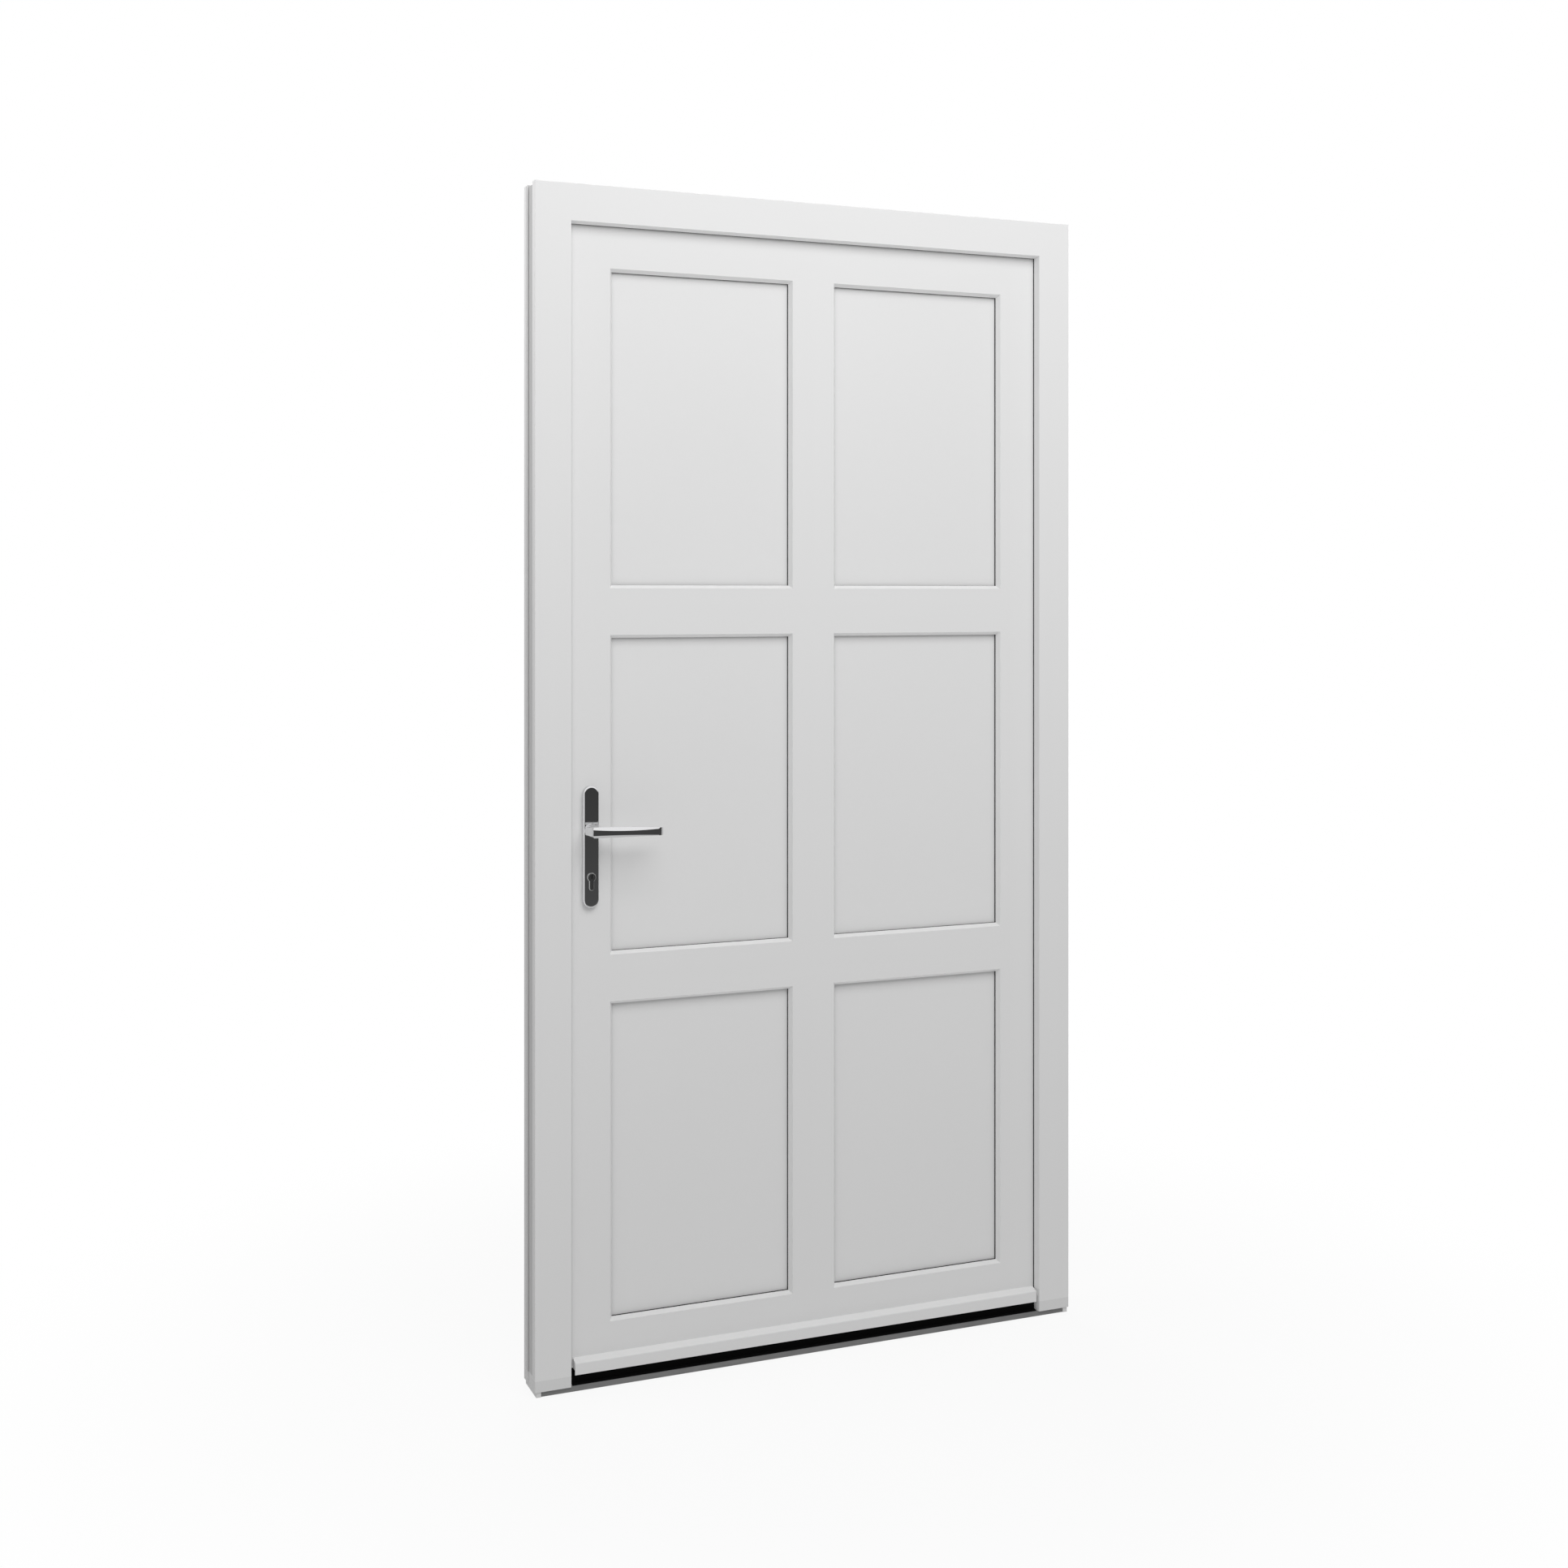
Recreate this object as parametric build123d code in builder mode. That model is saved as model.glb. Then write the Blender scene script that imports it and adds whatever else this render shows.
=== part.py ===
"""Six-panel entrance door in its frame, with lever handles, seen closed and opening inwards.

+Z is up, +X runs across the door from the lock side to the hinge side, and +Y points indoors.
The origin is on the underside of the base plate, at the middle of the frame's width and depth.
Every section is drawn in two figures: the reach in from the frame's outer edge, and the depth
in from the frame's outdoor face.
"""
from build123d import *
import os
from math import cos, radians, sin

os.makedirs("parts", exist_ok=True)

# Whole door
door_width = 1110.0
door_height = 2200.0
frame_depth = 76.0

# Section of the frame members
frame_face = 68.0
frame_body = 50.0
lip_thickness = 14.0
lip_bevel = 3.7
edge_round = 1.0
side_lip_depth = 18.0
side_channel_width = 34.0
side_channel_depth = 3.0
side_groove_width = 1.4
side_groove_depth = 1.2
side_groove_from_channel = 9.0

# Gaps that the gaskets close between the frame and the leaf
closing_gap = 3.7
inner_gap = 3.3
seal_clearance = 0.3
seal_root_width = 3.0
seal_root_depth = 2.5

# Section of the leaf members
stile_face = 79.0
top_rail_face = 80.0
hardware_gap = 12.0
flange_cover = 9.0
flange_thickness = 16.0
panel_bevel_width = 5.8
panel_bevel_depth = 9.4
panel_bite = 14.5
euro_groove_width = 16.0
euro_groove_depth = 3.0
euro_groove_inset = 22.0

# Mullion, cross rails and bottom rail
mullion_face = 86.0
cross_rail_face = 86.0
bottom_opening_height = 112.5
leaf_bottom = 38.0

# Panels, their gaskets and their beads
panel_thickness = 40.0
panel_edge_gap = 5.0
outer_gasket = 4.2
inner_gasket = 3.0
gasket_proud = 0.6
bead_cover = 19.0
bead_bevel = 6.0

# Threshold
base_thickness = 10.0
base_side_inset = 12.0
base_front_inset = 4.0
base_back_inset = 2.0
end_block_top = 30.0
threshold_top = 24.5
threshold_nose = 4.0
threshold_foot_height = 1.6
threshold_foot_inset = 1.5
threshold_tread_depth = 17.0
tread_rib_count = 5
tread_rib_height = 0.8
tread_rib_share = 0.5
fit_gap = 0.3

# Weather bar
bar_projection = 16.0
bar_top = 56.7
bar_slope = 5.6
bar_bottom = 29.5
bar_wall = 2.5
bar_lip_round = 1.0
bar_gap_lock_side = 4.3
bar_gap_hinge_side = 2.0

# Seal under the leaf
seal_depth = 46.0
seal_width = 20.0
seal_holder = 5.0
fin_thickness = 2.0

# Handle plates, levers and spindle
handle_reach = 108.2
lever_height = 1019.0
plate_width = 30.8
plate_height = 224.0
plate_thickness = 10.0
plate_round = 3.8
plate_middle_above_cylinder = 55.5
collar_radius = 12.5
collar_height = 3.0
spindle_size = 8.0
spindle_hole_radius = 8.0
spindle_socket = 25.0
lever_projection = 55.0
lever_length = 126.0
lever_top = 11.0
lever_low = 8.7
lever_bar_depth = 9.0
lever_neck_width = 19.0
lever_neck_flare = 3.0
lever_side_bevel = 2.5
lever_tip_drop = 5.7
lever_top_bow = 0.9
lever_crest = (4.8, 2.7, 1.9)
lever_keel = (2.5, 5.2, 6.0)
lever_bevel_run = 0.7
lever_bow = 1.2
lever_hook_reach = 11.0
lever_hook_drop = 8.0
lever_hook_angle = 50.0
lever_crook_radius = 10.0
lever_clearance = 0.3

# Lock cylinder
cylinder_spacing = 85.0
cylinder_radius = 8.5
cylinder_body_width = 10.0
cylinder_height = 33.0
cylinder_proud = 3.0
cylinder_clearance = 0.25
cylinder_rim = 1.4
plug_radius = 6.2
plug_step = 0.6
keyway_width = 2.4
keyway_height = 10.0
keyway_depth = 6.0

# Lock faceplate, bolts and keeps
faceplate_bottom = 230.0
faceplate_top_drop = 210.0
bolt_width = 10.0
bolt_length = 24.0
bolt_clearance = 0.4
latch_height = 34.0
latch_rise = 12.0
dead_bolt_height = 42.0
dead_bolt_drop = 45.0
hook_height = 48.0
hook_inset = 150.0
keep_thickness = 3.0
keep_width = 24.0
keep_slot_margin = 3.0
keep_end = 45.0

# Hinges
lower_hinge_height = 260.0
upper_hinge_drop = 240.0
hinge_height = 110.0
hinge_axis_reach = 29.0
hinge_axis_proud = 2.0
hinge_radius = 8.5
hinge_pin_radius = 4.5
hinge_pin_clearance = 0.05
hinge_leaf_knuckle = 44.0
hinge_knuckle_gap = 0.5
hinge_plate_thickness = 3.0
hinge_plate_width = 34.0
hinge_block_outer = 8.0
hinge_cap_height = 3.0
hinge_cap_bevel = 1.5

# Places worked out from the sizes above
half_width = door_width / 2
front = -frame_depth / 2
lip_end = frame_face + lip_bevel
leaf_front = lip_thickness + closing_gap
flange_back = frame_depth + inner_gap
leaf_back = flange_back + flange_thickness
leaf_edge = frame_body + hardware_gap
flange_edge = frame_body - flange_cover
opening_edge = frame_face + stile_face
opening_top = door_height - frame_face - top_rail_face
bevel_end = leaf_front + panel_bevel_depth
rebate_step = panel_bite - panel_bevel_width
panel_front = bevel_end + outer_gasket
panel_back = panel_front + panel_thickness
bead_front = panel_back + inner_gasket
half_mullion = mullion_face / 2
opening_width = (door_width - 2 * opening_edge - mullion_face) / 2
opening_height = (opening_top - bottom_opening_height - 2 * cross_rail_face) / 3
opening_middle = half_mullion + opening_width / 2
row_bottoms = [
    bottom_opening_height + row * (opening_height + cross_rail_face)
    for row in range(3)
]
groove_middle = leaf_front + euro_groove_inset + euro_groove_width / 2
faceplate_top = door_height - faceplate_top_drop
lower_hook = (faceplate_bottom + hook_inset, hook_height)
dead_bolt = (lever_height - dead_bolt_drop, dead_bolt_height)
latch = (lever_height + latch_rise, latch_height)
upper_hook = (faceplate_top - hook_inset, hook_height)
upper_hinge_height = door_height - upper_hinge_drop
hinge_places = (
    ("lower", lower_hinge_height),
    ("middle", (lower_hinge_height + upper_hinge_height) / 2),
    ("upper", upper_hinge_height),
)
handle_x = handle_reach - half_width
lever_left = handle_x - lever_neck_width / 2
lever_right = handle_x + lever_neck_width / 2
lever_tip = handle_x + lever_length
cylinder_z = lever_height - cylinder_spacing
plate_z = cylinder_z + plate_middle_above_cylinder
hinge_axis_x = half_width - hinge_axis_reach
hinge_axis_depth = leaf_back + hinge_axis_proud


def y_at(depth):
    """The Y of a depth behind the frame's outdoor face."""
    return front + depth


# Planes in which a section's reach and depth are drawn, looking along each side of the door
lock_side = Plane(origin=(-half_width, front, 0), x_dir=(1, 0, 0), z_dir=(0, 0, 1))
hinge_side = Plane(origin=(half_width, front, door_height), x_dir=(-1, 0, 0), z_dir=(0, 0, -1))
head_side = Plane(origin=(-half_width, front, door_height), x_dir=(0, 0, -1), z_dir=(1, 0, 0))

# The same for the leaf's own top and bottom rails, whose faces differ from the stiles'
leaf_top_side = Plane(
    origin=(-half_width, front, opening_top + opening_edge), x_dir=(0, 0, -1), z_dir=(1, 0, 0)
)
leaf_bottom_side = Plane(
    origin=(half_width, front, bottom_opening_height - opening_edge), x_dir=(0, 0, 1), z_dir=(-1, 0, 0)
)


def corner_cut(side, reference_z, slope):
    """The mitre plane of a corner: side is -1 at the lock side, slope is 1 at the top."""
    return Plane(origin=(side * half_width, 0, reference_z), z_dir=(-side, 0, slope))


frame_cut_lock = corner_cut(-1, door_height, 1)
frame_cut_hinge = corner_cut(1, door_height, 1)
leaf_cut_top_lock = corner_cut(-1, opening_top + opening_edge, 1)
leaf_cut_top_hinge = corner_cut(1, opening_top + opening_edge, 1)
leaf_cut_low_lock = corner_cut(-1, bottom_opening_height - opening_edge, -1)
leaf_cut_low_hinge = corner_cut(1, bottom_opening_height - opening_edge, -1)


def frame_section(plane):
    """Section of jambs, head and end blocks: bevelled lip, rebate and grooved outer side."""
    channel_end = side_lip_depth + side_channel_width
    groove = channel_end + side_groove_from_channel
    root_end = lip_end - seal_root_width
    root_start = root_end - seal_root_width
    with BuildSketch(plane) as section:
        with BuildLine():
            Polyline(
                (edge_round, 0),
                (frame_face, 0),
                (lip_end, lip_thickness),
                (root_end, lip_thickness),
                (root_end, lip_thickness - seal_root_depth),
                (root_start, lip_thickness - seal_root_depth),
                (root_start, lip_thickness),
                (frame_body, lip_thickness),
                (frame_body, frame_depth),
                (edge_round, frame_depth),
                (0, frame_depth - edge_round),
                (0, groove + side_groove_width),
                (side_groove_depth, groove + side_groove_width / 2),
                (0, groove),
                (0, channel_end),
                (side_channel_depth, channel_end),
                (side_channel_depth, side_lip_depth),
                (0, side_lip_depth),
                (0, edge_round),
                close=True,
            )
        make_face()
    return section.sketch


def frame_seal_section(plane):
    """Section of the black gasket on the back of the frame's lip, with its root."""
    seal_edge = lip_end + gasket_proud
    root_end = lip_end - seal_root_width
    root_start = root_end - seal_root_width
    seal_front = leaf_front - seal_clearance
    with BuildSketch(plane) as section:
        with BuildLine():
            Polyline(
                (seal_edge, lip_thickness),
                (seal_edge, seal_front),
                (root_start, seal_front),
                (root_start, lip_thickness - seal_root_depth),
                (root_end, lip_thickness - seal_root_depth),
                (root_end, lip_thickness),
                close=True,
            )
        make_face()
    return section.sketch


def leaf_section(plane):
    """Section of stiles and of top and bottom rails: panel bevel, rebate, flange and groove."""
    wall = opening_edge - rebate_step
    groove_front = leaf_front + euro_groove_inset
    groove_back = groove_front + euro_groove_width
    with BuildSketch(plane) as section:
        with BuildLine():
            Polyline(
                (leaf_edge, leaf_front),
                (opening_edge, leaf_front),
                (opening_edge + panel_bevel_width, bevel_end),
                (wall, bevel_end),
                (wall, leaf_back),
                (flange_edge, leaf_back),
                (flange_edge, flange_back),
                (leaf_edge, flange_back),
                (leaf_edge, groove_back),
                (leaf_edge + euro_groove_depth, groove_back),
                (leaf_edge + euro_groove_depth, groove_front),
                (leaf_edge, groove_front),
                close=True,
            )
        make_face()
    return section.sketch


def leaf_seal_section(plane):
    """Section of the gasket strip on the back of the leaf's flange."""
    seal_back = frame_depth + seal_clearance
    with BuildSketch(plane) as section:
        with BuildLine():
            Polyline(
                (flange_edge + gasket_proud, flange_back),
                (frame_body - gasket_proud, flange_back),
                (frame_body - 2 * gasket_proud, seal_back),
                (flange_edge + 2 * gasket_proud, seal_back),
                close=True,
            )
        make_face()
    return section.sketch


def divider_section(plane, face_width):
    """Section of the mullion and cross rails: a T with both edges of its face bevelled."""
    half_face = face_width / 2
    half_web = half_face - rebate_step
    with BuildSketch(plane) as section:
        with BuildLine():
            Polyline(
                (-half_face, leaf_front),
                (half_face, leaf_front),
                (half_face + panel_bevel_width, bevel_end),
                (half_web, bevel_end),
                (half_web, leaf_back),
                (-half_web, leaf_back),
                (-half_web, bevel_end),
                (-half_face - panel_bevel_width, bevel_end),
                close=True,
            )
        make_face()
    return section.sketch


def bevel_nose(plane):
    """The bevelled nose of a member, over which the end of a divider is scribed."""
    with BuildSketch(plane) as section:
        with BuildLine():
            Polyline(
                (opening_edge - rebate_step, leaf_front),
                (opening_edge, leaf_front),
                (opening_edge + panel_bevel_width, bevel_end),
                (opening_edge - rebate_step, bevel_end),
                close=True,
            )
        make_face()
    return section.sketch


def cylinder_section(depth, clearance):
    """Outline of a profile cylinder: a circle with a narrower round-ended body below it."""
    body_radius = cylinder_body_width / 2
    body_drop = cylinder_height - cylinder_radius - body_radius
    with BuildSketch(Plane.XZ.offset(-y_at(depth))) as section:
        with Locations((handle_x, cylinder_z)):
            Circle(cylinder_radius + clearance)
        with Locations((handle_x, cylinder_z - body_drop / 2)):
            Rectangle(cylinder_body_width + 2 * clearance, body_drop)
        with Locations((handle_x, cylinder_z - body_drop)):
            Circle(body_radius + clearance)
    return section.sketch


def spindle_circle(depth):
    """Round hole for the spindle, drawn at a depth."""
    with BuildSketch(Plane.XZ.offset(-y_at(depth))) as section:
        with Locations((handle_x, lever_height)):
            Circle(spindle_hole_radius)
    return section.sketch


def bolt_section(reach, clearance):
    """Outlines of latch, dead bolt and hooks, drawn at a reach in from the frame's outer edge."""
    edge_plane = Plane(
        origin=(reach - half_width, y_at(groove_middle), 0), x_dir=(0, 1, 0), z_dir=(1, 0, 0)
    )
    with BuildSketch(edge_plane) as section:
        for bolt_z, bolt_height in (lower_hook, dead_bolt, latch, upper_hook):
            with Locations((0, bolt_z)):
                Rectangle(bolt_width + 2 * clearance, bolt_height + 2 * clearance)
    return section.sketch


# Frame: two jambs and a head, mitred at the top corners
jamb_length = door_height - end_block_top

with BuildPart() as lock_jamb:
    extrude(frame_section(lock_side.offset(end_block_top)), amount=jamb_length)
    split(bisect_by=frame_cut_lock, keep=Keep.BOTTOM)
lock_jamb.part.label = "lock_jamb"
export_step(lock_jamb.part, "parts/lock_jamb.step")

with BuildPart() as hinge_jamb:
    extrude(frame_section(hinge_side), amount=jamb_length)
    split(bisect_by=frame_cut_hinge, keep=Keep.BOTTOM)
hinge_jamb.part.label = "hinge_jamb"
export_step(hinge_jamb.part, "parts/hinge_jamb.step")

with BuildPart() as frame_head:
    extrude(frame_section(head_side), amount=door_width)
    split(bisect_by=frame_cut_lock, keep=Keep.TOP)
    split(bisect_by=frame_cut_hinge, keep=Keep.TOP)
frame_head.part.label = "frame_head"
export_step(frame_head.part, "parts/frame_head.step")


# End blocks join the jambs to the threshold, each with a lug beside the base plate's end
block_sides = (
    ("lock_end_block", lock_side.offset(base_thickness), -1),
    ("hinge_end_block", hinge_side.offset(door_height - end_block_top), 1),
)

for block_name, block_plane, side in block_sides:
    lug_width = base_side_inset - side_channel_depth
    lug_middle = half_width - side_channel_depth - lug_width / 2
    with BuildPart() as end_block:
        extrude(frame_section(block_plane), amount=end_block_top - base_thickness)
        with BuildSketch(Plane.XY):
            with Locations((side * lug_middle, 0)):
                Rectangle(lug_width, frame_depth - 2 * base_back_inset)
        extrude(amount=base_thickness)
    end_block.part.label = block_name
    export_step(end_block.part, f"parts/{block_name}.step")


# Threshold: base plate, dark body under the leaf and ribbed tread at the indoor edge
with BuildPart() as threshold_base:
    base_depth = frame_depth - base_front_inset - base_back_inset
    base_middle = (base_front_inset - base_back_inset) / 2
    with BuildSketch(Plane.XY):
        with Locations((0, base_middle)):
            Rectangle(door_width - 2 * base_side_inset, base_depth)
    extrude(amount=base_thickness)
threshold_base.part.label = "threshold_base"
export_step(threshold_base.part, "parts/threshold_base.step")

threshold_length = door_width - 2 * (frame_body + fit_gap)
tread_front = frame_depth - threshold_tread_depth
across = Plane(origin=(-threshold_length / 2, front, 0), x_dir=(0, 1, 0), z_dir=(1, 0, 0))

with BuildPart() as threshold_body:
    nose_front = lip_thickness + fit_gap
    foot_top = base_thickness + threshold_foot_height
    with BuildSketch(across):
        with BuildLine():
            Polyline(
                (nose_front, base_thickness),
                (nose_front, threshold_top - threshold_nose / 2),
                (nose_front + threshold_nose, threshold_top),
                (tread_front, threshold_top),
                (tread_front, base_thickness),
                close=True,
            )
        make_face()
    extrude(amount=threshold_length)
    foot_front = base_front_inset + threshold_foot_inset
    foot_length = door_width - 2 * (lip_end + fit_gap)
    with BuildSketch(Plane(origin=(-foot_length / 2, front, 0), x_dir=(0, 1, 0), z_dir=(1, 0, 0))):
        with BuildLine():
            Polyline(
                (foot_front, base_thickness),
                (foot_front, foot_top),
                (nose_front, foot_top + threshold_foot_height),
                (nose_front, base_thickness),
                close=True,
            )
        make_face()
    extrude(amount=foot_length)
threshold_body.part.label = "threshold_body"
export_step(threshold_body.part, "parts/threshold_body.step")

with BuildPart() as threshold_tread:
    tread_height = threshold_top - base_thickness - tread_rib_height
    rib_pitch = threshold_tread_depth / tread_rib_count
    with BuildSketch(across):
        with Locations((tread_front, base_thickness)):
            Rectangle(threshold_tread_depth, tread_height, align=(Align.MIN, Align.MIN))
        for rib in range(tread_rib_count):
            with Locations((tread_front + rib * rib_pitch, base_thickness + tread_height)):
                rib_width = rib_pitch * tread_rib_share
                Rectangle(rib_width, tread_rib_height, align=(Align.MIN, Align.MIN))
    extrude(amount=threshold_length)
threshold_tread.part.label = "threshold_tread"
export_step(threshold_tread.part, "parts/threshold_tread.step")


# Gasket round the frame's lip, down both jambs to the threshold
gasket_foot = threshold_top + fit_gap

with BuildPart() as lock_gasket_run:
    extrude(frame_seal_section(lock_side.offset(gasket_foot)), amount=door_height - gasket_foot)
    split(bisect_by=frame_cut_lock, keep=Keep.BOTTOM)

with BuildPart() as hinge_gasket_run:
    extrude(frame_seal_section(hinge_side), amount=door_height - gasket_foot)
    split(bisect_by=frame_cut_hinge, keep=Keep.BOTTOM)

with BuildPart() as frame_gasket:
    extrude(frame_seal_section(head_side), amount=door_width)
    split(bisect_by=frame_cut_lock, keep=Keep.TOP)
    split(bisect_by=frame_cut_hinge, keep=Keep.TOP)
    add(lock_gasket_run.part)
    add(hinge_gasket_run.part)
frame_gasket.part.label = "frame_gasket"
export_step(frame_gasket.part, "parts/frame_gasket.step")


# Keeps for the lock, on the rebate wall of the lock jamb, each slotted for its own bolts
with BuildPart() as lock_keeps:
    for keep_bolts in ((lower_hook,), (dead_bolt, latch), (upper_hook,)):
        keep_low = keep_bolts[0][0] - keep_bolts[0][1] / 2 - keep_end
        keep_high = keep_bolts[-1][0] + keep_bolts[-1][1] / 2 + keep_end
        keep_face = Plane(
            origin=(frame_body - half_width, y_at(groove_middle), 0),
            x_dir=(0, 1, 0),
            z_dir=(1, 0, 0),
        )
        with BuildSketch(keep_face):
            with Locations((0, (keep_low + keep_high) / 2)):
                RectangleRounded(keep_width, keep_high - keep_low, keep_width / 4)
            for bolt_z, bolt_height in keep_bolts:
                with Locations((0, bolt_z)):
                    slot_width = bolt_width + 2 * keep_slot_margin
                    slot_height = bolt_height + 2 * keep_slot_margin
                    RectangleRounded(slot_width, slot_height, keep_slot_margin, mode=Mode.SUBTRACT)
        extrude(amount=keep_thickness)
lock_keeps.part.label = "lock_keeps"
export_step(lock_keeps.part, "parts/lock_keeps.step")


# Leaf: stiles and rails of one section, mitred, with the bottom trimmed level
leaf_floor = Plane.XY.offset(leaf_bottom)

with BuildPart() as lock_stile:
    extrude(leaf_section(lock_side), amount=door_height)
    split(bisect_by=leaf_cut_top_lock, keep=Keep.BOTTOM)
    split(bisect_by=leaf_cut_low_lock, keep=Keep.BOTTOM)
    split(bisect_by=leaf_floor, keep=Keep.TOP)
    extrude(spindle_circle(leaf_back), amount=leaf_back - leaf_front, mode=Mode.SUBTRACT)
    extrude(
        cylinder_section(leaf_back, cylinder_clearance),
        amount=leaf_back - leaf_front,
        mode=Mode.SUBTRACT,
    )
    extrude(bolt_section(leaf_edge, bolt_clearance), amount=bolt_length, mode=Mode.SUBTRACT)
lock_stile.part.label = "lock_stile"
export_step(lock_stile.part, "parts/lock_stile.step")

with BuildPart() as hinge_stile:
    extrude(leaf_section(hinge_side), amount=door_height)
    split(bisect_by=leaf_cut_top_hinge, keep=Keep.BOTTOM)
    split(bisect_by=leaf_cut_low_hinge, keep=Keep.BOTTOM)
    split(bisect_by=leaf_floor, keep=Keep.TOP)
hinge_stile.part.label = "hinge_stile"
export_step(hinge_stile.part, "parts/hinge_stile.step")

with BuildPart() as top_rail:
    extrude(leaf_section(leaf_top_side), amount=door_width)
    split(bisect_by=leaf_cut_top_lock, keep=Keep.TOP)
    split(bisect_by=leaf_cut_top_hinge, keep=Keep.TOP)
top_rail.part.label = "top_rail"
export_step(top_rail.part, "parts/top_rail.step")

with BuildPart() as bottom_rail:
    extrude(leaf_section(leaf_bottom_side), amount=door_width)
    split(bisect_by=leaf_cut_low_lock, keep=Keep.TOP)
    split(bisect_by=leaf_cut_low_hinge, keep=Keep.TOP)
    split(bisect_by=leaf_floor, keep=Keep.TOP)
bottom_rail.part.label = "bottom_rail"
export_step(bottom_rail.part, "parts/bottom_rail.step")


# Cross rails from stile to stile, their ends scribed over the stiles' bevels
row_names = ("lower", "middle", "upper")
rail_reach = half_width - opening_edge + rebate_step

for rail_name, row_above in (("lower_cross_rail", 1), ("upper_cross_rail", 2)):
    rail_middle = row_bottoms[row_above] - cross_rail_face / 2
    rail_plane = Plane(origin=(-rail_reach, front, rail_middle), x_dir=(0, 0, -1), z_dir=(1, 0, 0))
    with BuildPart() as cross_rail:
        extrude(divider_section(rail_plane, cross_rail_face), amount=2 * rail_reach)
        extrude(bevel_nose(lock_side), amount=door_height, mode=Mode.SUBTRACT)
        extrude(bevel_nose(hinge_side), amount=door_height, mode=Mode.SUBTRACT)
    cross_rail.part.label = rail_name
    export_step(cross_rail.part, f"parts/{rail_name}.step")


# Mullions between the panels of each row, scribed over the rails below and above
for row_name, row_bottom in zip(row_names, row_bottoms):
    row_top = row_bottom + opening_height
    below = Plane(
        origin=(half_width, front, row_bottom - opening_edge), x_dir=(0, 0, 1), z_dir=(-1, 0, 0)
    )
    above = Plane(
        origin=(-half_width, front, row_top + opening_edge), x_dir=(0, 0, -1), z_dir=(1, 0, 0)
    )
    foot = Plane(origin=(0, front, row_bottom - rebate_step), x_dir=(1, 0, 0), z_dir=(0, 0, 1))
    with BuildPart() as mullion:
        extrude(divider_section(foot, mullion_face), amount=opening_height + 2 * rebate_step)
        extrude(bevel_nose(below), amount=door_width, mode=Mode.SUBTRACT)
        extrude(bevel_nose(above), amount=door_width, mode=Mode.SUBTRACT)
    mullion.part.label = f"{row_name}_mullion"
    export_step(mullion.part, f"parts/{row_name}_mullion.step")


# Panels: flat boards held between the outer gaskets and the beads
rebate_width = opening_width + 2 * rebate_step
rebate_height = opening_height + 2 * rebate_step
column_names = ((-1, "left"), (1, "right"))

for row_name, row_bottom in zip(row_names, row_bottoms):
    for column, column_name in column_names:
        with BuildPart() as panel:
            with BuildSketch(Plane.XZ.offset(-y_at(panel_front))):
                with Locations((column * opening_middle, row_bottom + opening_height / 2)):
                    Rectangle(rebate_width - 2 * panel_edge_gap, rebate_height - 2 * panel_edge_gap)
            extrude(amount=-panel_thickness)
        panel.part.label = f"{row_name}_{column_name}_panel"
        export_step(panel.part, f"parts/{row_name}_{column_name}_panel.step")


opening_places = [
    (column * opening_middle, row_bottom + opening_height / 2)
    for row_bottom in row_bottoms
    for column, column_name in column_names
]


def ring_section(depth, edge_gap, cover):
    """Rings round all six panels: from a gap off the rebate's walls in to a cover width."""
    with BuildSketch(Plane.XZ.offset(-y_at(depth))) as section:
        with Locations(*opening_places):
            Rectangle(rebate_width - 2 * edge_gap, rebate_height - 2 * edge_gap)
            Rectangle(rebate_width - 2 * cover, rebate_height - 2 * cover, mode=Mode.SUBTRACT)
    return section.sketch


with BuildPart() as panel_gaskets:
    extrude(ring_section(bevel_end, panel_edge_gap, panel_bite + gasket_proud), amount=-outer_gasket)
    extrude(ring_section(panel_back, panel_edge_gap, bead_cover + gasket_proud), amount=-inner_gasket)
panel_gaskets.part.label = "panel_gaskets"
export_step(panel_gaskets.part, "parts/panel_gaskets.step")

with BuildPart() as panel_beads:
    extrude(ring_section(leaf_back, 0, bead_cover), amount=leaf_back - bead_front)
    indoor_faces = panel_beads.faces().filter_by(Axis.Y).group_by(Axis.Y)[-1]
    sight_edges = [edge for face in indoor_faces for wire in face.inner_wires() for edge in wire.edges()]
    chamfer(sight_edges, length=bead_bevel)
panel_beads.part.label = "panel_beads"
export_step(panel_beads.part, "parts/panel_beads.step")


# Gasket on the leaf's flange, closing on the frame's indoor face
with BuildPart() as lock_leaf_seal:
    extrude(leaf_seal_section(lock_side.offset(leaf_bottom)), amount=door_height)
    split(bisect_by=leaf_cut_top_lock, keep=Keep.BOTTOM)

with BuildPart() as hinge_leaf_seal:
    extrude(leaf_seal_section(hinge_side), amount=door_height)
    split(bisect_by=leaf_cut_top_hinge, keep=Keep.BOTTOM)
    split(bisect_by=leaf_floor, keep=Keep.TOP)

with BuildPart() as leaf_gasket:
    extrude(leaf_seal_section(leaf_top_side), amount=door_width)
    split(bisect_by=leaf_cut_top_lock, keep=Keep.TOP)
    split(bisect_by=leaf_cut_top_hinge, keep=Keep.TOP)
    add(lock_leaf_seal.part)
    add(hinge_leaf_seal.part)
leaf_gasket.part.label = "leaf_gasket"
export_step(leaf_gasket.part, "parts/leaf_gasket.step")


# Weather bar: a sloped top over a drip skirt, screwed to the leaf's face
bar_start = lip_end + bar_gap_lock_side - half_width
bar_end = half_width - lip_end - bar_gap_hinge_side
bar_front = leaf_front - bar_projection

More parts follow.
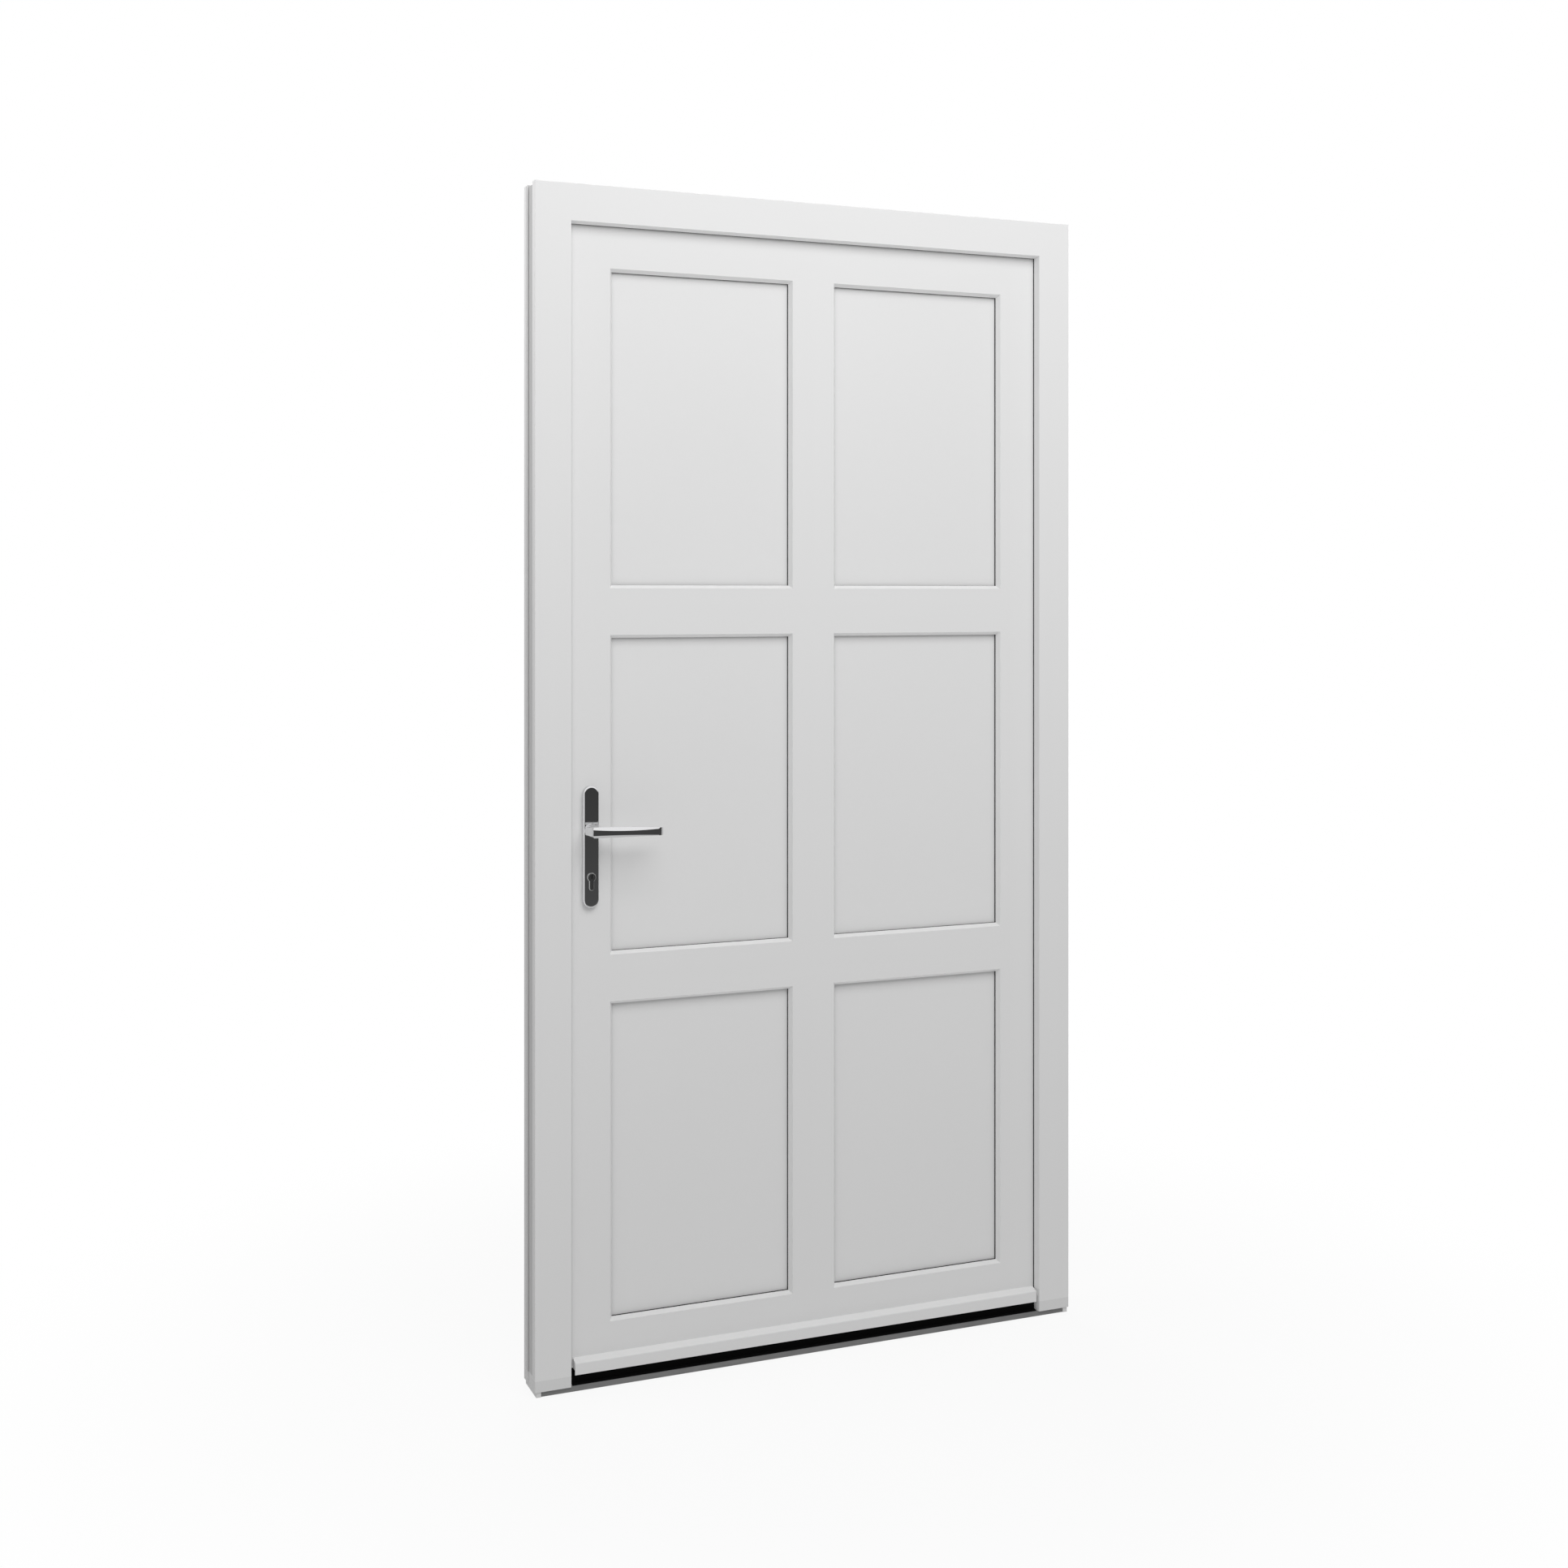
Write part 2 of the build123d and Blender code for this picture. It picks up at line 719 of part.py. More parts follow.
with BuildPart() as weather_bar:
    with BuildSketch(Plane(origin=(bar_start, front, 0), x_dir=(0, 1, 0), z_dir=(1, 0, 0))):
        with BuildLine():
            Polyline(
                (leaf_front, bar_top),
                (bar_front, bar_top - bar_slope),
                (bar_front, bar_bottom),
                (bar_front + bar_wall, bar_bottom),
                (bar_front + bar_wall, leaf_bottom),
                (leaf_front, leaf_bottom),
                close=True,
            )
        make_face()
    extrude(amount=bar_end - bar_start)
    nose_edge = weather_bar.edges().filter_by(Axis.X).group_by(Axis.Y)[0].sort_by(Axis.Z)[-1]
    fillet(nose_edge, radius=bar_wall)
    lip_edge = weather_bar.edges().filter_by(Axis.X).group_by(Axis.Z)[0].sort_by(Axis.Y)[0]
    fillet(lip_edge, radius=bar_lip_round)
weather_bar.part.label = "weather_bar"
export_step(weather_bar.part, "parts/weather_bar.step")


# Rubber seal under the leaf, with two fins down to the threshold
leaf_half_length = half_width - leaf_edge

with BuildPart() as bottom_seal:
    fin_height = leaf_bottom - seal_holder - threshold_top - seal_clearance
    with BuildSketch(Plane(origin=(-leaf_half_length, front, 0), x_dir=(0, 1, 0), z_dir=(1, 0, 0))):
        with Locations((seal_depth, leaf_bottom)):
            Rectangle(seal_width, seal_holder, align=(Align.CENTER, Align.MAX))
        fin_offset = seal_width / 3
        with Locations(
            (seal_depth - fin_offset, leaf_bottom - seal_holder),
            (seal_depth + fin_offset, leaf_bottom - seal_holder),
        ):
            Rectangle(fin_thickness, fin_height, align=(Align.CENTER, Align.MAX))
    extrude(amount=2 * leaf_half_length)
bottom_seal.part.label = "bottom_seal"
export_step(bottom_seal.part, "parts/bottom_seal.step")


# Faceplate of the lock, let into the groove of the lock stile's edge, with the bolts drawn back in it
with BuildPart() as lock_faceplate:
    faceplate_middle = (faceplate_bottom + faceplate_top) / 2
    faceplate_seat = Plane(
        origin=(leaf_edge + euro_groove_depth - half_width, y_at(groove_middle), faceplate_middle),
        x_dir=(0, -1, 0),
        z_dir=(-1, 0, 0),
    )
    with BuildSketch(faceplate_seat):
        SlotOverall(faceplate_top - faceplate_bottom, euro_groove_width - fit_gap, rotation=90)
    extrude(amount=euro_groove_depth)
    extrude(bolt_section(leaf_edge, bolt_clearance), amount=euro_groove_depth, mode=Mode.SUBTRACT)
lock_faceplate.part.label = "lock_faceplate"
export_step(lock_faceplate.part, "parts/lock_faceplate.step")

with BuildPart() as lock_bolts:
    extrude(bolt_section(leaf_edge, 0), amount=bolt_length)
    end_edges = lock_bolts.faces().filter_by(Axis.X).group_by(Axis.X)[0].edges()
    chamfer(end_edges, length=bolt_clearance)
lock_bolts.part.label = "lock_bolts"
export_step(lock_bolts.part, "parts/lock_bolts.step")


# Handle plates: round-ended, bevelled all round, with a raised collar for the lever
outer_plate_face = leaf_front - plate_thickness
inner_plate_face = leaf_back + plate_thickness
handle_sides = (
    ("outer", leaf_front, outer_plate_face, 1),
    ("inner", leaf_back, inner_plate_face, -1),
)

for side_name, seat_depth, face_depth, out in handle_sides:
    with BuildPart() as handle_plate:
        with BuildSketch(Plane.XZ.offset(-y_at(seat_depth))):
            with Locations((handle_x, plate_z)):
                SlotOverall(plate_height, plate_width, rotation=90)
        extrude(amount=out * plate_thickness)
        rim = handle_plate.faces().sort_by(Axis.Y, reverse=out < 0)[0]
        fillet(rim.edges(), radius=plate_round)
        with BuildSketch(Plane.XZ.offset(-y_at(face_depth))):
            with Locations((handle_x, lever_height)):
                Circle(collar_radius)
        extrude(amount=out * collar_height)
        through = out * (plate_thickness + collar_height)
        extrude(spindle_circle(seat_depth), amount=through, mode=Mode.SUBTRACT)
        extrude(cylinder_section(seat_depth, cylinder_clearance), amount=through, mode=Mode.SUBTRACT)
    handle_plate.part.label = f"{side_name}_handle_plate"
    export_step(handle_plate.part, f"parts/{side_name}_handle_plate.step")


# Lock cylinder, through both plates, with a stepped plug and a keyway at each end
cylinder_front = outer_plate_face - cylinder_proud
cylinder_back = inner_plate_face + cylinder_proud

with BuildPart() as lock_cylinder:
    extrude(cylinder_section(cylinder_back, 0), amount=cylinder_back - cylinder_front)
    end_faces = lock_cylinder.faces().sort_by(Axis.Y)
    chamfer(end_faces[0].edges() + end_faces[-1].edges(), length=cylinder_rim)
    for end_depth, out in ((cylinder_front, 1), (cylinder_back, -1)):
        plug_end = Plane.XZ.offset(-y_at(end_depth))
        with BuildSketch(plug_end):
            with Locations((handle_x, cylinder_z)):
                Circle(plug_radius)
        extrude(amount=out * plug_step)
        with BuildSketch(plug_end.offset(out * plug_step)):
            with Locations((handle_x, cylinder_z)):
                Rectangle(keyway_width, keyway_height)
        extrude(amount=-out * keyway_depth, mode=Mode.SUBTRACT)
lock_cylinder.part.label = "lock_cylinder"
export_step(lock_cylinder.part, "parts/lock_cylinder.step")


# Levers: a neck out from the plate, a bowed bar and a tip hooked back towards the leaf
lever_sides = (
    ("outer", outer_plate_face - collar_height - lever_clearance, leaf_front - lever_projection, 1),
    ("inner", inner_plate_face + collar_height + lever_clearance, leaf_back + lever_projection, -1),
)


def lever_outline(seat_depth, face_depth, out):
    """Lever seen from above, between the depths of its seat and its face."""
    seat = y_at(seat_depth)
    face = y_at(face_depth)
    back = face + out * lever_bar_depth
    turn = lever_tip - lever_hook_reach
    hook = face + out * lever_hook_drop
    inner_tip = lever_tip - lever_bar_depth * sin(radians(lever_hook_angle))
    inner_hook = hook + out * lever_bar_depth * cos(radians(lever_hook_angle)) / 2
    crook = lever_right + lever_crook_radius
    crook_back = back + out * lever_crook_radius
    foot_left = lever_left - lever_neck_flare
    foot_right = lever_right + lever_neck_flare
    with BuildSketch(Plane.XY.offset(lever_height - 2 * lever_low)) as outline:
        with BuildLine():
            Line((foot_left, seat), (lever_left, face))
            ThreePointArc((lever_left, face), ((lever_left + turn) / 2, face - out * lever_bow), (turn, face))
            ThreePointArc(
                (turn, face),
                ((turn + lever_tip) / 2 + lever_bow / 2, (face + hook) / 2 - out * lever_bow / 2),
                (lever_tip, hook),
            )
            Line((lever_tip, hook), (inner_tip, inner_hook))
            ThreePointArc(
                (inner_tip, inner_hook),
                ((crook + lever_tip) / 2, back - out * lever_bow),
                (crook, back),
            )
            RadiusArc((crook, back), (lever_right, crook_back), out * lever_crook_radius)
            Line((lever_right, crook_back), (foot_right, seat))
            Line((foot_right, seat), (foot_left, seat))
        make_face()
    return outline.sketch


def lever_elevation():
    """Lever seen from the front: a level underside and a top that falls away to the tip."""
    left = lever_left - lever_neck_flare
    low = lever_height - lever_low
    high = lever_height + lever_top
    middle_high = high - lever_tip_drop / 2 + lever_top_bow
    with BuildSketch(Plane.XZ.offset(-y_at(leaf_back + 2 * lever_projection))) as elevation:
        with BuildLine():
            Polyline((left, high), (left, low), (lever_tip, low), (lever_tip, high - lever_tip_drop))
            ThreePointArc(
                (lever_tip, high - lever_tip_drop),
                ((left + lever_tip) / 2, middle_high),
                (left, high),
            )
        make_face()
    return elevation.sketch


def lever_cutter(depth, heights, up):
    """Everything above or below the band of the bar's face: up is 1 above it and -1 below it."""
    reach = lever_projection
    neck, middle, tip = [lever_height + up * height for height in heights]
    limit = lever_height + up * reach
    with BuildSketch(Plane.XZ.offset(-y_at(depth))) as cutter:
        with BuildLine():
            ThreePointArc((lever_left, neck), ((lever_left + lever_tip) / 2, middle), (lever_tip, tip))
            Polyline(
                (lever_tip, tip),
                (lever_tip + reach, tip),
                (lever_tip + reach, limit),
                (lever_left - reach, limit),
                (lever_left - reach, neck),
                (lever_left, neck),
            )
        make_face()
    return cutter.sketch


for side_name, seat_depth, face_depth, out in lever_sides:
    across_both = leaf_back - leaf_front + 4 * lever_projection
    with BuildPart() as lever:
        extrude(lever_outline(seat_depth, face_depth, out), amount=2 * (lever_low + lever_top))
        extrude(lever_elevation(), amount=across_both, mode=Mode.INTERSECT)
        side_edges = [
            edge
            for edge in lever.faces().sort_by(Axis.X)[0].edges()
            if abs(edge.center().Z - lever_height) > lever_low / 2
        ]
        chamfer(side_edges, length=lever_side_bevel)
        bow_depth = face_depth - out * lever_bow
        for heights, up in ((lever_crest, 1), (lever_keel, -1)):
            slope = Vector(0, out * lever_bevel_run, up)
            cut = lever_cutter(bow_depth, heights, up)
            extrude(cut, amount=lever_projection, dir=slope, mode=Mode.SUBTRACT)
        with BuildSketch(Plane.XZ.offset(-y_at(seat_depth))):
            with Locations((handle_x, lever_height)):
                Rectangle(spindle_size, spindle_size)
        extrude(amount=out * spindle_socket, mode=Mode.SUBTRACT)
    lever.part.label = f"{side_name}_lever"
    export_step(lever.part, f"parts/{side_name}_lever.step")

with BuildPart() as spindle:
    spindle_reach = collar_height + lever_clearance + spindle_socket
    spindle_front = outer_plate_face - spindle_reach
    spindle_back = inner_plate_face + spindle_reach
    with BuildSketch(Plane.XZ.offset(-y_at(spindle_back))):
        with Locations((handle_x, lever_height)):
            Rectangle(spindle_size, spindle_size)
    extrude(amount=spindle_back - spindle_front)
spindle.part.label = "spindle"
export_step(spindle.part, "parts/spindle.step")


# Hinges: a block with two knuckles and the pin on the jamb, one bored knuckle on the leaf
axis_y = y_at(hinge_axis_depth)
block_length = hinge_axis_reach - hinge_block_outer
frame_knuckle = (hinge_height - hinge_leaf_knuckle) / 2 - hinge_knuckle_gap

for place, hinge_z in hinge_places:
    hinge_low = hinge_z - hinge_height / 2
    with BuildPart() as frame_hinge:
        for knuckle_low in (hinge_low, hinge_low + hinge_height - frame_knuckle):
            with BuildSketch(Plane.XY.offset(knuckle_low)):
                with Locations((hinge_axis_x, axis_y)):
                    Circle(hinge_radius)
                with Locations((hinge_axis_x, y_at(frame_depth))):
                    block_depth = hinge_axis_depth - frame_depth
                    Rectangle(block_length, block_depth, align=(Align.MIN, Align.MIN))
            extrude(amount=frame_knuckle)
        with BuildSketch(Plane.XY.offset(hinge_low)):
            with Locations((hinge_axis_x, y_at(frame_depth))):
                Rectangle(block_length, hinge_plate_thickness, align=(Align.MIN, Align.MIN))
        extrude(amount=hinge_height)
        with BuildSketch(Plane.XY.offset(hinge_low)):
            with Locations((hinge_axis_x, axis_y)):
                Circle(hinge_pin_radius)
        extrude(amount=hinge_height)
        with BuildSketch(Plane.XY.offset(hinge_low - hinge_cap_height)):
            with Locations((hinge_axis_x, axis_y)):
                Circle(hinge_radius)
        extrude(amount=hinge_cap_height)
        with BuildSketch(Plane.XY.offset(hinge_low + hinge_height)):
            with Locations((hinge_axis_x, axis_y)):
                Circle(hinge_radius)
        extrude(amount=hinge_cap_height)
        cap_ends = frame_hinge.faces().filter_by(Axis.Z).sort_by(Axis.Z)
        chamfer(cap_ends[0].edges() + cap_ends[-1].edges(), length=hinge_cap_bevel)
    frame_hinge.part.label = f"{place}_frame_hinge"
    export_step(frame_hinge.part, f"parts/{place}_frame_hinge.step")

    with BuildPart() as leaf_hinge:
        with BuildSketch(Plane.XY.offset(hinge_z - hinge_leaf_knuckle / 2)):
            with Locations((hinge_axis_x, axis_y)):
                Circle(hinge_radius)
            with Locations((hinge_axis_x, y_at(leaf_back))):
                plate_run = flange_edge - hinge_axis_reach + hinge_plate_width
                Rectangle(plate_run, hinge_plate_thickness, align=(Align.MAX, Align.MIN))
            with Locations((hinge_axis_x, axis_y)):
                Circle(hinge_pin_radius + hinge_pin_clearance, mode=Mode.SUBTRACT)
        extrude(amount=hinge_leaf_knuckle)
    leaf_hinge.part.label = f"{place}_leaf_hinge"
    export_step(leaf_hinge.part, f"parts/{place}_leaf_hinge.step")
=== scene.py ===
"""Looks of a six-panel entrance door: finishes, gasket lips, screws, fixing caps, stage and camera.

Everything is in metres in the door's own frame: +Z up, +X from the lock side to the hinge side
and +Y indoors. The door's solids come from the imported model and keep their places. Two gaskets
made here take the place of the model's plain strips.
"""
import math

import bpy
import bmesh
from bpy.props import FloatProperty, FloatVectorProperty, IntProperty, PointerProperty
from mathutils import Matrix, Vector


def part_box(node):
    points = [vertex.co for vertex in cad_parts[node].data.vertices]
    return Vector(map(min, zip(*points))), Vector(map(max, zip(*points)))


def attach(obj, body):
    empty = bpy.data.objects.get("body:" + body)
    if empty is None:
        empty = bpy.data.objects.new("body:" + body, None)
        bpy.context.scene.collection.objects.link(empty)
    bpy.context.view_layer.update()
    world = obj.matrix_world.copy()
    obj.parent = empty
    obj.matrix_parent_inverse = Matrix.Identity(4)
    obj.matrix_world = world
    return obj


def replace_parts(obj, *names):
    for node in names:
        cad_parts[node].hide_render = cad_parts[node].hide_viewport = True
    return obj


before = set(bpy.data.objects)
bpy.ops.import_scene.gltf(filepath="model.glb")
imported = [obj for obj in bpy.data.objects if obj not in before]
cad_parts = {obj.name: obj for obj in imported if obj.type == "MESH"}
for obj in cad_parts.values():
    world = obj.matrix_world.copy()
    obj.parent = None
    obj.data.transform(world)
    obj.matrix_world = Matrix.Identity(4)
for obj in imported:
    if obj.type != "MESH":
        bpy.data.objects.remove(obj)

bl_info = {
    "name": "Six-panel door",
    "version": (1, 0, 0),
    "blender": (4, 5, 0),
    "location": "3D View > Sidebar > Door",
    "description": "Finishes, fittings, stage and camera of a six-panel door",
    "category": "Object",
}

PHOTO_SIZE = 1932

JAMBS = ("lock_jamb", "hinge_jamb")
END_BLOCKS = ("lock_end_block", "hinge_end_block")
STILES = ("lock_stile", "hinge_stile")
MULLIONS = ("lower_mullion", "middle_mullion", "upper_mullion")
RAILS = ("top_rail", "bottom_rail", "lower_cross_rail", "upper_cross_rail")
PLAIN_SEALS = ("leaf_gasket", "bottom_seal")
ROWS = ("lower", "middle", "upper")
PANELS = tuple(f"{row}_{side}_panel" for row in ROWS for side in ("left", "right"))

# Stretches of the noise, which make its marks run along an upright member, a level one or none
UPRIGHT = (1.0, 1.0, 0.01)
LEVEL = (0.01, 1.0, 1.0)
PLAIN = (1.0, 1.0, 1.0)

# Heights of the frame's fixings, as shares of a jamb's height
FIXING_SHARES = (0.09, 0.31, 0.60, 0.93)

# Outline of a gasket's free edge: share of its thickness from the profile, and how far it stands out
LIP = (
    (0.0, -0.0005), (0.06, -0.0003), (0.24, -0.0002), (0.5, -0.0004),
    (0.72, -0.0002), (0.88, 0.0), (1.0, 0.0002),
)

# Plastic: how much it shines, how much painted shade darkens the outer channel's floor, and how much
# rougher that floor is
PLASTIC_SHINE = 0.3
CHANNEL_PAINTED_SHADE = 0.32
CHANNEL_ROUGHER = 0.25

# Depth of the pits in rubber and of the brushing on metal
FINE_RELIEF = 0.00003

# Screws: reach of a recess as a share of its head's radius, turn from one head to the next in radians,
# least thickness of a head, and how much of its height a head or a cap loses at its edge
RECESS_REACH_SHARE = 0.62
SCREW_TURN = 0.7
THINNEST_HEAD = 0.0001
HEAD_FALL = 0.75
CAP_FALL = 0.7

# The indoor plate's screws stand this share of its width from its ends
PLATE_INSET_SHARE = 0.62

# Edges sharper than this angle stay sharp, and corners nearer than this distance count as one
SHARP_ANGLE = math.radians(35)
WELD_DISTANCE = 0.00001

# The floor: corners round its edge, how far it lies below the door, and the distances from the door
# between which it turns plain white
FLOOR_SEGMENTS = 96
FLOOR_DROP = 0.0005
FLOOR_FADE = (0.6, 1.8)


def colour_prop(name, description, default):
    return FloatVectorProperty(
        name=name, description=description, default=default, size=3, min=0.0, max=1.0, subtype="COLOR"
    )


def length_prop(name, description, default):
    return FloatProperty(name=name, description=description, default=default, min=0.0, unit="LENGTH")


def share_prop(name, description, default):
    return FloatProperty(
        name=name, description=description, default=default, min=0.0, max=1.0, subtype="FACTOR"
    )


def power_prop(name, description, default):
    return FloatProperty(name=name, description=description, default=default, min=0.0, unit="POWER")


class DoorColours(bpy.types.PropertyGroup):
    """Colours and roughness of the door's finishes."""

    profile: colour_prop("Profile white", "Colour of the frame's and leaf's members", (0.83, 0.83, 0.83))
    panel: colour_prop("Panel white", "Colour of the flat panels", (0.83, 0.83, 0.83))
    block: colour_prop("End block", "Colour of the moulded end blocks", (0.75, 0.75, 0.75))
    rubber: colour_prop("Rubber", "Colour of the gaskets and seals", (0.012, 0.012, 0.012))
    threshold: colour_prop("Threshold", "Colour of the dark threshold body", (0.003, 0.003, 0.003))
    base_plate: colour_prop("Base plate", "Colour of the grey base plate", (0.28, 0.28, 0.28))
    aluminium: colour_prop("Aluminium", "Colour of the tread", (0.62, 0.62, 0.63))
    chrome: colour_prop("Chrome", "Colour of plates and levers", (0.80, 0.80, 0.81))
    nickel: colour_prop("Nickel", "Colour of the lock cylinder", (0.34, 0.34, 0.34))
    steel: colour_prop("Zinc steel", "Colour of the lock's faceplate and keeps", (0.55, 0.56, 0.57))
    bolt: colour_prop("Bolt steel", "Colour of the lock's bolts and screws", (0.66, 0.66, 0.65))
    hinge: colour_prop("Hinge white", "Colour of the painted hinges", (0.80, 0.80, 0.80))
    profile_roughness: share_prop("Profile roughness", "Roughness of the white plastic", 0.34)
    chrome_roughness: share_prop("Chrome roughness", "Roughness of the polished chrome", 0.06)


class DoorFittings(bpy.types.PropertyGroup):
    """Sizes and places of screws, caps, gaskets and the frame's outer channel."""

    collar_height: length_prop("Collar height", "How far a plate's collar stands out of its face", 0.003)
    plate_screw: length_prop("Plate screw", "Radius of the screws of the indoor plate", 0.0042)
    small_screw: length_prop("Small screw", "Radius of the lock's and hinges' screws", 0.0036)
    screw_dome: length_prop("Screw dome", "Height of a raised screw head", 0.0012)
    recess_width: length_prop("Recess width", "Width of a cross recess", 0.0011)
    recess_depth: length_prop("Recess depth", "Depth of a cross recess", 0.0011)
    screw_inset: length_prop("Screw inset", "From the end of a plate or keep to its screw", 0.020)
    screw_rows: IntProperty(
        name="Faceplate screws", description="Screws along the faceplate", default=7, min=2
    )
    cylinder_drop: length_prop("Cylinder drop", "From the spindle down to the lock cylinder", 0.085)
    channel_from_front: length_prop("Channel place", "From the frame's front to its outer channel", 0.018)
    channel_width: length_prop("Channel width", "Width of the frame's outer channel", 0.034)
    channel_depth: length_prop("Channel depth", "Depth of the frame's outer channel", 0.003)
    groove_from_back: length_prop("Groove place", "From the frame's back to its fine groove", 0.018)
    groove_width: length_prop("Groove width", "Width of the fine groove near the frame's back", 0.004)
    hinge_plate: length_prop("Hinge plate", "Thickness of a hinge's plates", 0.003)
    hinge_screw_reach: length_prop("Hinge screw reach", "From a hinge plate's edge to its screws", 0.009)
    hinge_screw_spread: length_prop("Hinge screw spread", "Between a hinge's upper and lower screws", 0.026)
    cap_radius: length_prop("Fixing cap", "Radius of the caps over the frame's fixing screws", 0.0075)
    cap_dome: length_prop("Fixing cap dome", "Height of the caps over the frame's fixing screws", 0.0014)
    outer_reach: length_prop("Outer gasket", "From a panel's edge in to the leaf's bevel", 0.0095)
    inner_reach: length_prop("Inner gasket", "From a panel's edge in to the beads' edge", 0.0140)
    seal_reach: length_prop("Frame gasket", "From the frame gasket's root in to the lip's edge", 0.0060)
    seal_root: length_prop("Root width", "Width of the frame gasket's root", 0.0030)
    seal_root_depth: length_prop("Root depth", "Depth of the root in the frame's lip", 0.0025)
    rings: IntProperty(name="Rings", description="Rings of faces in a screw head", default=12, min=4)
    segments: IntProperty(name="Segments", description="Faces round a screw head", default=48, min=12)


class DoorStage(bpy.types.PropertyGroup):
    """Camera, lights and floor."""

    lens: FloatProperty(name="Lens", description="Focal length", default=44.45, unit="CAMERA")
    camera_place: FloatVectorProperty(
        name="Camera place", description="Where the camera stands", default=(-1.4778, -3.4370, 1.4502),
        size=3, subtype="TRANSLATION", unit="LENGTH",
    )
    camera_turn: FloatProperty(
        name="Camera turn", description="Turn of the camera from straight ahead to the right",
        default=math.radians(22.52), subtype="ANGLE", unit="ROTATION",
    )
    horizon: FloatProperty(name="Horizon", description="Row of the horizon in the picture", default=733.3)
    key_power: power_prop("Key light", "Power of the wide light above and in front", 77.0)
    side_power: power_prop("Side light", "Power of the light beyond the lock side", 11.0)
    back_power: power_prop("Back light", "Power of the wide light above and behind", 40.0)
    level_light: share_prop("Level light", "Strength of the room's light at eye level", 0.325)
    sky_light: share_prop("Sky light", "What the room's light gains towards straight up", 0.20)
    ground_light: share_prop("Ground light", "What the room's light gains towards straight down", 0.66)
    mirrored_dark: share_prop("Dark side", "Strength of the mirrored room away from its lights", 0.038)
    mirrored_light: share_prop(
        "Light side", "Strength of the mirrored room above and beyond the lock side", 0.95
    )
    mirrored_low: share_prop("Low dark side", "What the mirrored dark side gains below eye level", 0.06)
    mirrored_ground: share_prop("Mirrored ground", "Straight down, as a share of the light side", 0.6)
    floor_radius: length_prop("Floor radius", "Radius of the round floor", 4.6)
    floor: colour_prop("Floor", "Colour of the floor", (0.70, 0.70, 0.70))
    floor_white: share_prop(
        "White floor", "How far the floor near the door is plain white to the camera", 0.90
    )


class Value:
    """A number in a shader, on which Python's operators add Math nodes."""

    def __init__(self, shader, socket):
        self.shader = shader
        self.socket = socket

    def math(self, operation, other=0.0, first=None):
        """This value and another number or value, in this order unless another comes first."""
        inputs = [self, other] if first is None else [first, self]
        return self.shader.add("ShaderNodeMath", {"operation": operation}, inputs)

    def out(self, name):
        """Another output of the same node."""
        return Value(self.shader, self.socket.node.outputs[name])

    def at_least(self, other):
        return self.math("MAXIMUM", other)

    def __add__(self, other):
        return self.math("ADD", other)

    def __mul__(self, other):
        return self.math("MULTIPLY", other)

    def __sub__(self, other):
        return self.math("SUBTRACT", other)

    def __rsub__(self, other):
        return self.math("SUBTRACT", first=other)

    def __gt__(self, other):
        return self.math("GREATER_THAN", other)

    def __lt__(self, other):
        return self.math("LESS_THAN", other)

    def __abs__(self):
        return self.math("ABSOLUTE")


class Shader:
    """Builds the nodes of a material or of the world."""

    def __init__(self, owner, output):
        owner.use_nodes = True
        self.tree = owner.node_tree
        self.tree.nodes.clear()
        self.end = self.tree.nodes.new(output)

    def add(self, kind, settings=None, inputs=None, output=0):
        """Adds a node: its settings first, then the values or links of its sockets."""
        node = self.tree.nodes.new(kind)
        for name, setting in (settings or {}).items():
            setattr(node, name, setting)
        pairs = inputs.items() if isinstance(inputs, dict) else enumerate(inputs or [])
        for name, given in pairs:
            self.feed(node.inputs[name], given)
        return Value(self, node.outputs[output])

    def feed(self, socket, given):
        if isinstance(given, Value):
            self.tree.links.new(given.socket, socket)
        elif isinstance(given, (int, float)):
            socket.default_value = given
        elif socket.type == "RGBA" and len(given) == 3:
            socket.default_value = (*given, 1.0)
        else:
            socket.default_value = given

    def finish(self, shader):
        self.tree.links.new(shader.socket, self.end.inputs["Surface"])

    def place(self, stretch=PLAIN):
        """The piece's own coordinates, in metres, multiplied by a stretch."""
        coordinates = self.add("ShaderNodeTexCoord", output="Object")
        return self.add("ShaderNodeVectorMath", {"operation": "MULTIPLY"}, [coordinates, stretch])

    def noise(self, place, scale, detail=3.0, roughness=0.5):
        """Noise with its middle at 0, from about -0.5 to 0.5."""
        inputs = {"Vector": place, "Scale": scale, "Detail": detail, "Roughness": roughness}
        return self.add("ShaderNodeTexNoise", {"noise_dimensions": "3D"}, inputs) - 0.5

    def ramp(self, value, start, end):
        """0 before start, 1 past end and a smooth rise between them."""
        inputs = {"Value": value, "From Min": start, "From Max": end}
        return self.add("ShaderNodeMapRange", {"interpolation_type": "SMOOTHSTEP"}, inputs)

    def bump(self, height, distance):
        return self.add("ShaderNodeBump", None, {"Height": height, "Distance": distance})

    def backdrop(self, strength):
        """White light of the world, of a strength that may change with the direction."""
        return self.add("ShaderNodeBackground", None, {"Color": (1.0, 1.0, 1.0), "Strength": strength})

    def tint(self, colour, shade):
        """A colour multiplied by a shade that lies round 1."""
        grey = self.add("ShaderNodeCombineColor", None, [shade, shade, shade])
        settings = {"data_type": "RGBA", "blend_type": "MULTIPLY"}
        return self.add("ShaderNodeMix", settings, {0: 1.0, 6: grey, 7: tuple(colour)}, output=2)


def new_finish(name):
    material = bpy.data.materials.new(name)
    return material, Shader(material, "ShaderNodeOutputMaterial")


